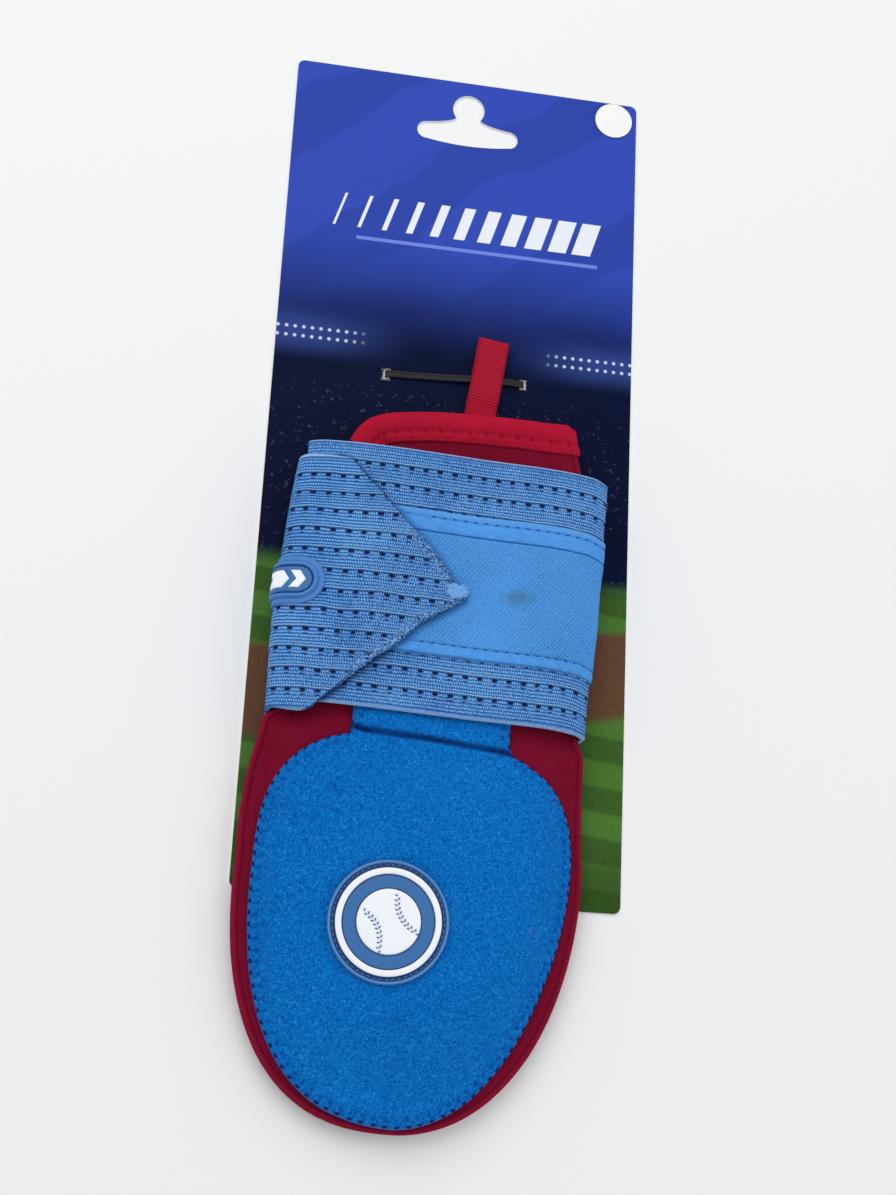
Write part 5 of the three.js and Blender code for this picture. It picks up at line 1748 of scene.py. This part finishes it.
    def frays(self, runs, x, top, bottom, tip_layer):
        """Loose yarn ends along the frayed parts of both cut edges."""
        source = rng(31)
        starts, ends = [], []
        for edge, way, from_x in ((top, 1, FRAY_TOP_X), (bottom, -1, FRAY_BOTTOM_X)):
            slope = np.gradient(edge, runs)
            places = runs[tip_layer & (x > from_x)]
            for run in np.linspace(places[0], places[-1], 90) + source.uniform(-0.2, 0.2, 90):
                y = float(np.interp(run, runs, edge))
                lean = float(np.interp(run, runs, slope))
                out = np.array([-lean, 1.0]) * way / math.hypot(lean, 1)
                reach = source.uniform(0.1, 0.6)
                twist = source.uniform(-0.5, 0.5)
                inside = (run - out[0] * 0.9, y - out[1] * 0.9)
                tip = (run + out[0] * reach + twist, y + out[1] * reach)
                low = source.uniform(-0.5, 0.3)
                starts.append(on_winding(inside[0], 0.75, inside[1]))
                ends.append(on_winding(tip[0], 0.55 + low, tip[1]))
        body = threads(starts, ends, 0.14, 0.12, rings=5, sides=5)
        yarn = thread_finish("strap_yarn", linear(110, 166, 226))
        return add_piece("strap_frays", body, yarn)


class MITT_OT_patch(bpy.types.Operator):
    """Build the loop patch with its smooth bands, pile and stitches"""

    bl_idname = "mitt.patch"
    bl_label = "Loop Patch"

    def execute(self, context):
        settings = context.scene.mitt_strap
        first, last = run_at(turn_at_x(PATCH_LEFT_X, False)), run_at(PATCH_END_TURN)
        runs = np.linspace(first, last, 193)
        down = np.linspace(0, PATCH_HEIGHT, 121)
        run, depth = np.meshgrid(runs, down)
        y = STRAP_TOP_Y - PATCH_FROM_EDGE - depth
        wavy = 0.25 * np.sin(run / 11) * smooth(8 - depth, 0, 8)
        y = y + wavy
        flat_place = np.dstack([run, depth])
        edge = np.minimum(np.minimum(depth, PATCH_HEIGHT - depth), last - run)
        stitch = np.cos(run * np.pi / PATCH_STITCH) ** 4
        band = 0.22 * np.sin(np.clip((depth - 2.9) / 4.6, 0, 1) * np.pi)
        rows = hump(depth - PATCH_SEAM, 0.45) + hump(depth - PATCH_LOWER_SEAM, 0.45)
        fold = -0.4 * hump(depth - PATCH_FOLD, 0.3)
        piled = smooth(depth, 7.8, 8.4) * smooth(PATCH_LOWER_SEAM - depth, 0, 0.7)
        pile = piled * (0.1 + 0.07 * soft_noise(flat_place, 1.6, 41, 2))
        hollow = -0.12 * smooth(depth, 8, 14) * smooth(PATCH_HEIGHT - 4 - depth, 0, 6)
        waves = 0.14 * soft_noise(flat_place, 26, 42)
        thick = PATCH_THICK * (0.45 + 0.55 * round_in(edge, 0.55))
        ending = smooth(run, last - 26, last - 8)
        thick = thick * (1 - 0.45 * ending)
        band, fold = band * (1 - 0.6 * ending), fold * (1 - 0.5 * ending)
        base = STRAP_THICK / 2 + GAP * 0.6
        height = base + thick + band + fold + pile + hollow + waves - rows * (0.16 + 0.18 * stitch)
        outer = on_winding(run, height, y)
        inner = on_winding(run, np.full_like(run, base), y)
        body = closed_sheet(outer, inner, 4)
        shadow_distance = line_distance(outer[..., :2].reshape(-1, 2), cut_line()).reshape(run.shape)
        maps = {"cloth": sheet_map(flat_place, 4), "shadow_distance": sheet_map(np.dstack([shadow_distance, depth]), 4)}
        patch = add_piece("patch_pile_band", body, pile_finish(settings.pile), maps)
        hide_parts("loop_patch")
        stitches = self.stitches(runs, height, down, y)
        return {"FINISHED"}

    def stitches(self, runs, height, down, y):
        """A row of stitches along the patch's upper band and one along its lower band."""
        starts, ends, ups = [], [], []
        source = rng(51)
        for depth in (PATCH_SEAM, PATCH_LOWER_SEAM):
            row = int(np.argmin(np.abs(down - depth)))
            for run in np.arange(runs[0] + 14, runs[-1] - 3, PATCH_STITCH):
                slant = source.uniform(-0.12, 0.12) + (0.1 if depth > 9 else 0)
                places = np.array([run + 0.2, run + 1.75])
                tall = np.interp(places, runs, height[row]) + 0.06
                sides = np.interp(places, runs, y[row]) + np.array([-slant, slant])
                points = on_winding(places, tall, sides)
                starts.append(points[0])
                ends.append(points[1])
                ups.append(on_winding(places[:1], tall[:1] + 1, sides[:1])[0] - points[0])
        body = threads(starts, ends, 0.2, 0.16, ups)
        thread = thread_finish("patch_thread", linear(36, 84, 152))
        return add_piece("patch_stitches", body, thread)


class MITT_OT_grip(bpy.types.Operator):
    """Build the rubber grip with its lip, groove and white chevrons"""

    bl_idname = "mitt.grip"
    bl_label = "Grip"

    def execute(self, context):
        settings = context.scene.mitt_rubber
        first, last = run_at(2 - GRIP_WRAP), run_at(turn_at_x(GRIP_RIGHT_X, True))
        radius = GRIP_HEIGHT / 2
        arc = np.linspace(-np.pi / 2, np.pi / 2, 60)
        round_end = np.stack([last - radius + radius * np.cos(arc), GRIP_MIDDLE_Y + radius * np.sin(arc)], -1)
        corners = np.array([[first, GRIP_MIDDLE_Y + radius], [first, GRIP_MIDDLE_Y - radius]])
        centre = np.array([last - radius - 1.0, GRIP_MIDDLE_Y])
        depths = [0, 0.15, 0.4, 0.9, 1.5, 1.8, 2.0, 2.2, 2.5, 2.9, 3.2, 3.4, 3.6, 3.8, 4.1, 4.6, 5.4, 6.6]
        plan, distance, _ = disc_grid(np.vstack([round_end, corners]), centre, 240, depths, radius)
        base = STRAP_THICK / 2 + GAP * 0.5
        flange = 0.62 - rounded_drop(distance, 0.35)
        lip = (GRIP_THICK - 0.62) * smooth(distance, GRIP_FLANGE, 2.35)
        groove = 0.55 * hump(distance - GRIP_GROOVE, 0.3)
        sunk = 0.3 * smooth(distance, 3.1, 3.6)
        outer = on_winding(plan[..., 0], base + flange + lip - groove - sunk, plan[..., 1])
        inner = on_winding(plan[..., 0], np.full(plan.shape[:2], base), plan[..., 1])
        body = closed_disc(outer, inner, 4)
        rim_map = np.zeros((len(body[0]), 2))
        rim_map[: distance.size, 0] = distance.ravel()
        rim_map[distance.size, 0] = 7
        material = self.grip_finish(settings.base)
        grip = add_piece("grip_pad", body, material, {"rim": rim_map})
        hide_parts("grip_tab")
        white = rubber_finish("grip_white", settings.relief, 0.125)
        for number in (1, 2):
            mark = self.chevron(MARK_START_X - (number - 1) * MARK_PITCH, base + GRIP_THICK - 0.4)
            piece = add_piece(f"grip_chevron_{number}", mark, white)
            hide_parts(f"grip_mark_{number}")
        return {"FINISHED"}

    def grip_finish(self, base):
        """Moulded rubber with a paler lip, and painted shade in its groove and at its flange's step."""
        finish = Finish("grip_rubber")
        distance, _ = finish.on_map("rim")
        grains = finish.noise(2000, 2)
        flow = finish.noise(1.0, 2, stretch=(90, 240, 90))
        finish.speckle(0.5 + (flow - 0.5) * 0.9, base, 1.25, 0.75)
        lip = finish.mix(grains, linear(58, 114, 184), linear(74, 134, 202))
        finish.shown = finish.mix(finish.step(distance, 3.1, 3.4), lip, finish.shown)
        # Painted shade in the groove and at the flange's step.
        lines = finish.step(abs(distance - GRIP_GROOVE), 0.4, 0.12)
        lines = lines + finish.step(abs(distance - GRIP_FLANGE), 0.3, 0.05) * 0.35
        finish.tint(lines * 0.85, linear(14, 52, 112))
        return finish.surface(0.42 + grains * 0.14, 0.25, grains * 0.4, 0.00012, 0.5)

    def chevron(self, start_x, base):
        """One slanted chevron bar on the grip."""
        start = run_at(turn_at_x(start_x - MARK_WIDTH, True))
        end = run_at(turn_at_x(start_x, True))
        across = np.linspace(0, 1, 25)
        along = np.linspace(0, 1, 13)
        share, v = np.meshgrid(along, across)
        bend = MARK_BEND * (1 - np.abs(2 * v - 1))
        run = start + (end - start) * share + bend
        y = GRIP_MIDDLE_Y + (0.5 - v) * MARK_HEIGHT
        edge = np.minimum(np.minimum(share, 1 - share) * MARK_WIDTH, np.minimum(v, 1 - v) * MARK_HEIGHT)
        outer = on_winding(run, base + 0.55 - rounded_drop(edge, 0.3), y)
        inner = on_winding(run, np.full_like(run, base - 0.2), y)
        return closed_sheet(outer, inner, 4)


class MITT_OT_tip(bpy.types.Operator):
    """Build the melted nub and its fibres at the strap's point"""

    bl_idname = "mitt.tip"
    bl_label = "Melted Point"

    def execute(self, context):
        end = run_at(turn_at_x(STRAP_TIP_X, True))
        angle = np.linspace(0, 2 * np.pi, 72, endpoint=False)
        ragged = 1 + 0.12 * np.sin(angle * 3 + 1) + 0.08 * np.sin(angle * 7 + 2) + 0.05 * np.sin(angle * 13)
        middle_run, middle_y = end - 2.4, STRAP_POINT_Y
        middle = np.array([middle_run, middle_y])
        rim = middle + np.stack([3.6 * np.cos(angle) * ragged, 2.6 * np.sin(angle) * ragged], -1)
        plan = disc_plan(rim, middle, [1, 0.96, 0.88, 0.76, 0.62, 0.46, 0.3, 0.14])
        fall = np.array([0, 0.4, 0.66, 0.78, 0.82, 0.78, 0.7, 0.66])[:, None]
        lumps = 0.22 * soft_noise(plan, 2.6, 61)
        base = STRAP_THICK / 2 + 0.1
        outer = on_winding(plan[..., 0], base + fall * 0.85 + lumps * fall, plan[..., 1])
        inner = on_winding(plan[..., 0], np.full(plan.shape[:2], base - 0.5), plan[..., 1])
        material = melt_finish(linear(100, 156, 218))
        nub = add_piece("tip_melt", closed_disc(outer, inner, 4), material, sharp=80)
        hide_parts("tip_weld")
        source = rng(62)
        starts, ends = [], []
        for _ in range(34):
            turn = source.uniform(0, 2 * np.pi)
            near, far = source.uniform(1.6, 3.0), source.uniform(3.0, 4.4)
            bent = turn + source.uniform(-0.3, 0.3)
            points = on_winding(
                np.array([middle_run + near * math.cos(turn), middle_run + far * math.cos(bent)]),
                np.array([base + 0.7, base + source.uniform(0.0, 0.5)]),
                np.array([middle_y + near * 0.75 * math.sin(turn), middle_y + far * 0.75 * math.sin(turn)]),
            )
            starts.append(points[0])
            ends.append(points[1])
        body = threads(starts, ends, 0.15, 0.2, rings=5, sides=5)
        add_piece("tip_fibres", body, thread_finish("melted_fibre", linear(128, 178, 230)))
        return {"FINISHED"}


class MITT_OT_stage(bpy.types.Operator):
    """Build the floor, the soft light and the camera"""

    bl_idname = "mitt.stage"
    bl_label = "Stage"

    def execute(self, context):
        settings = context.scene.mitt_stage
        self.floor(settings)
        self.light("key_light", (-0.5, 0.75, 1.15), 1.3, settings.key_power, (1.0, 0.99, 0.97))
        self.light("fill_light", (0.9, -0.2, 0.9), 1.2, settings.key_power * 0.25, (0.96, 0.98, 1.0))
        world = bpy.data.worlds.new("studio_sky")
        world.use_nodes = True
        background = world.node_tree.nodes["Background"]
        background.inputs["Color"].default_value = (0.97, 0.985, 1.0, 1)
        background.inputs["Strength"].default_value = settings.sky
        context.scene.world = world
        context.scene.view_settings.view_transform = "Standard"
        context.scene.view_settings.look = "None"
        self.camera(context.scene)
        return {"FINISHED"}

    def floor(self, settings):
        """The paper that the card lies on."""
        places = np.linspace(-1.6, 1.6, 9)
        x, y = np.meshgrid(places, places)
        points = np.dstack([x, y, np.full_like(x, -0.0002)]).reshape(-1, 3)
        index = np.arange(81).reshape(9, 9)
        mesh = bpy.data.meshes.new("floor")
        mesh.from_pydata(points.tolist(), [], grid_faces(index)[:, ::-1].tolist())
        mesh.materials.append(floor_finish(settings.floor))
        floor = linked("floor", mesh)

    def light(self, name, place, size, power, tint):
        """A soft square light that looks at the mitt."""
        lamp = bpy.data.lights.new(name, "AREA")
        lamp.size = size
        lamp.energy = power
        lamp.color = tint
        holder = linked(name, lamp)
        holder.location = place
        holder.rotation_euler = (Vector((0, -0.02, 0)) - Vector(place)).to_track_quat("-Z", "Y").to_euler()

    def camera(self, scene):
        """The photo's camera, as solved from the card's corners."""
        lens = bpy.data.cameras.new("camera")
        lens.sensor_width = SENSOR
        lens.lens = FOCAL_PIXELS / PHOTO_HEIGHT * SENSOR
        lens.clip_start = 0.01
        holder = linked("camera", lens)
        turned = Matrix((CAMERA_RIGHT, -CAMERA_DOWN, -CAMERA_AHEAD)).transposed().to_4x4()
        holder.matrix_world = Matrix.Translation(CAMERA_PLACE) @ turned
        scene.camera = holder


class MITT_PT_panel(bpy.types.Panel):
    """Lists the pieces of the mitt and their sizes and colours"""

    bl_idname = "MITT_PT_panel"
    bl_label = "Sliding Mitt"
    bl_space_type = "VIEW_3D"
    bl_region_type = "UI"
    bl_category = "Mitt"

    def draw(self, context):
        for operator in PIECES:
            self.layout.operator(operator.bl_idname)
        for name, group in SETTINGS.items():
            box = self.layout.box()
            for key in group.__annotations__:
                box.prop(getattr(context.scene, name), key)


PIECES = (
    MITT_OT_stage,
    MITT_OT_card,
    MITT_OT_tie,
    MITT_OT_pull_loop,
    MITT_OT_walls,
    MITT_OT_hem,
    MITT_OT_shield,
    MITT_OT_badge,
    MITT_OT_strap,
    MITT_OT_patch,
    MITT_OT_grip,
    MITT_OT_tip,
)
SETTINGS = {
    "mitt_strap": MittStrapSettings,
    "mitt_cloth": MittClothSettings,
    "mitt_rubber": MittRubberSettings,
    "mitt_card": MittCardSettings,
    "mitt_stage": MittStageSettings,
}


def register():
    for group in SETTINGS.values():
        bpy.utils.register_class(group)
    for cls in (*PIECES, MITT_PT_panel):
        bpy.utils.register_class(cls)
    for name, group in SETTINGS.items():
        setattr(bpy.types.Scene, name, bpy.props.PointerProperty(type=group))


def unregister():
    for name in SETTINGS:
        delattr(bpy.types.Scene, name)
    for cls in (*PIECES, MITT_PT_panel, *SETTINGS.values()):
        bpy.utils.unregister_class(cls)


def main():
    register()
    for operator in PIECES:
        group, name = operator.bl_idname.split(".")
        getattr(getattr(bpy.ops, group), name)()


if __name__ == "__main__":
    main()
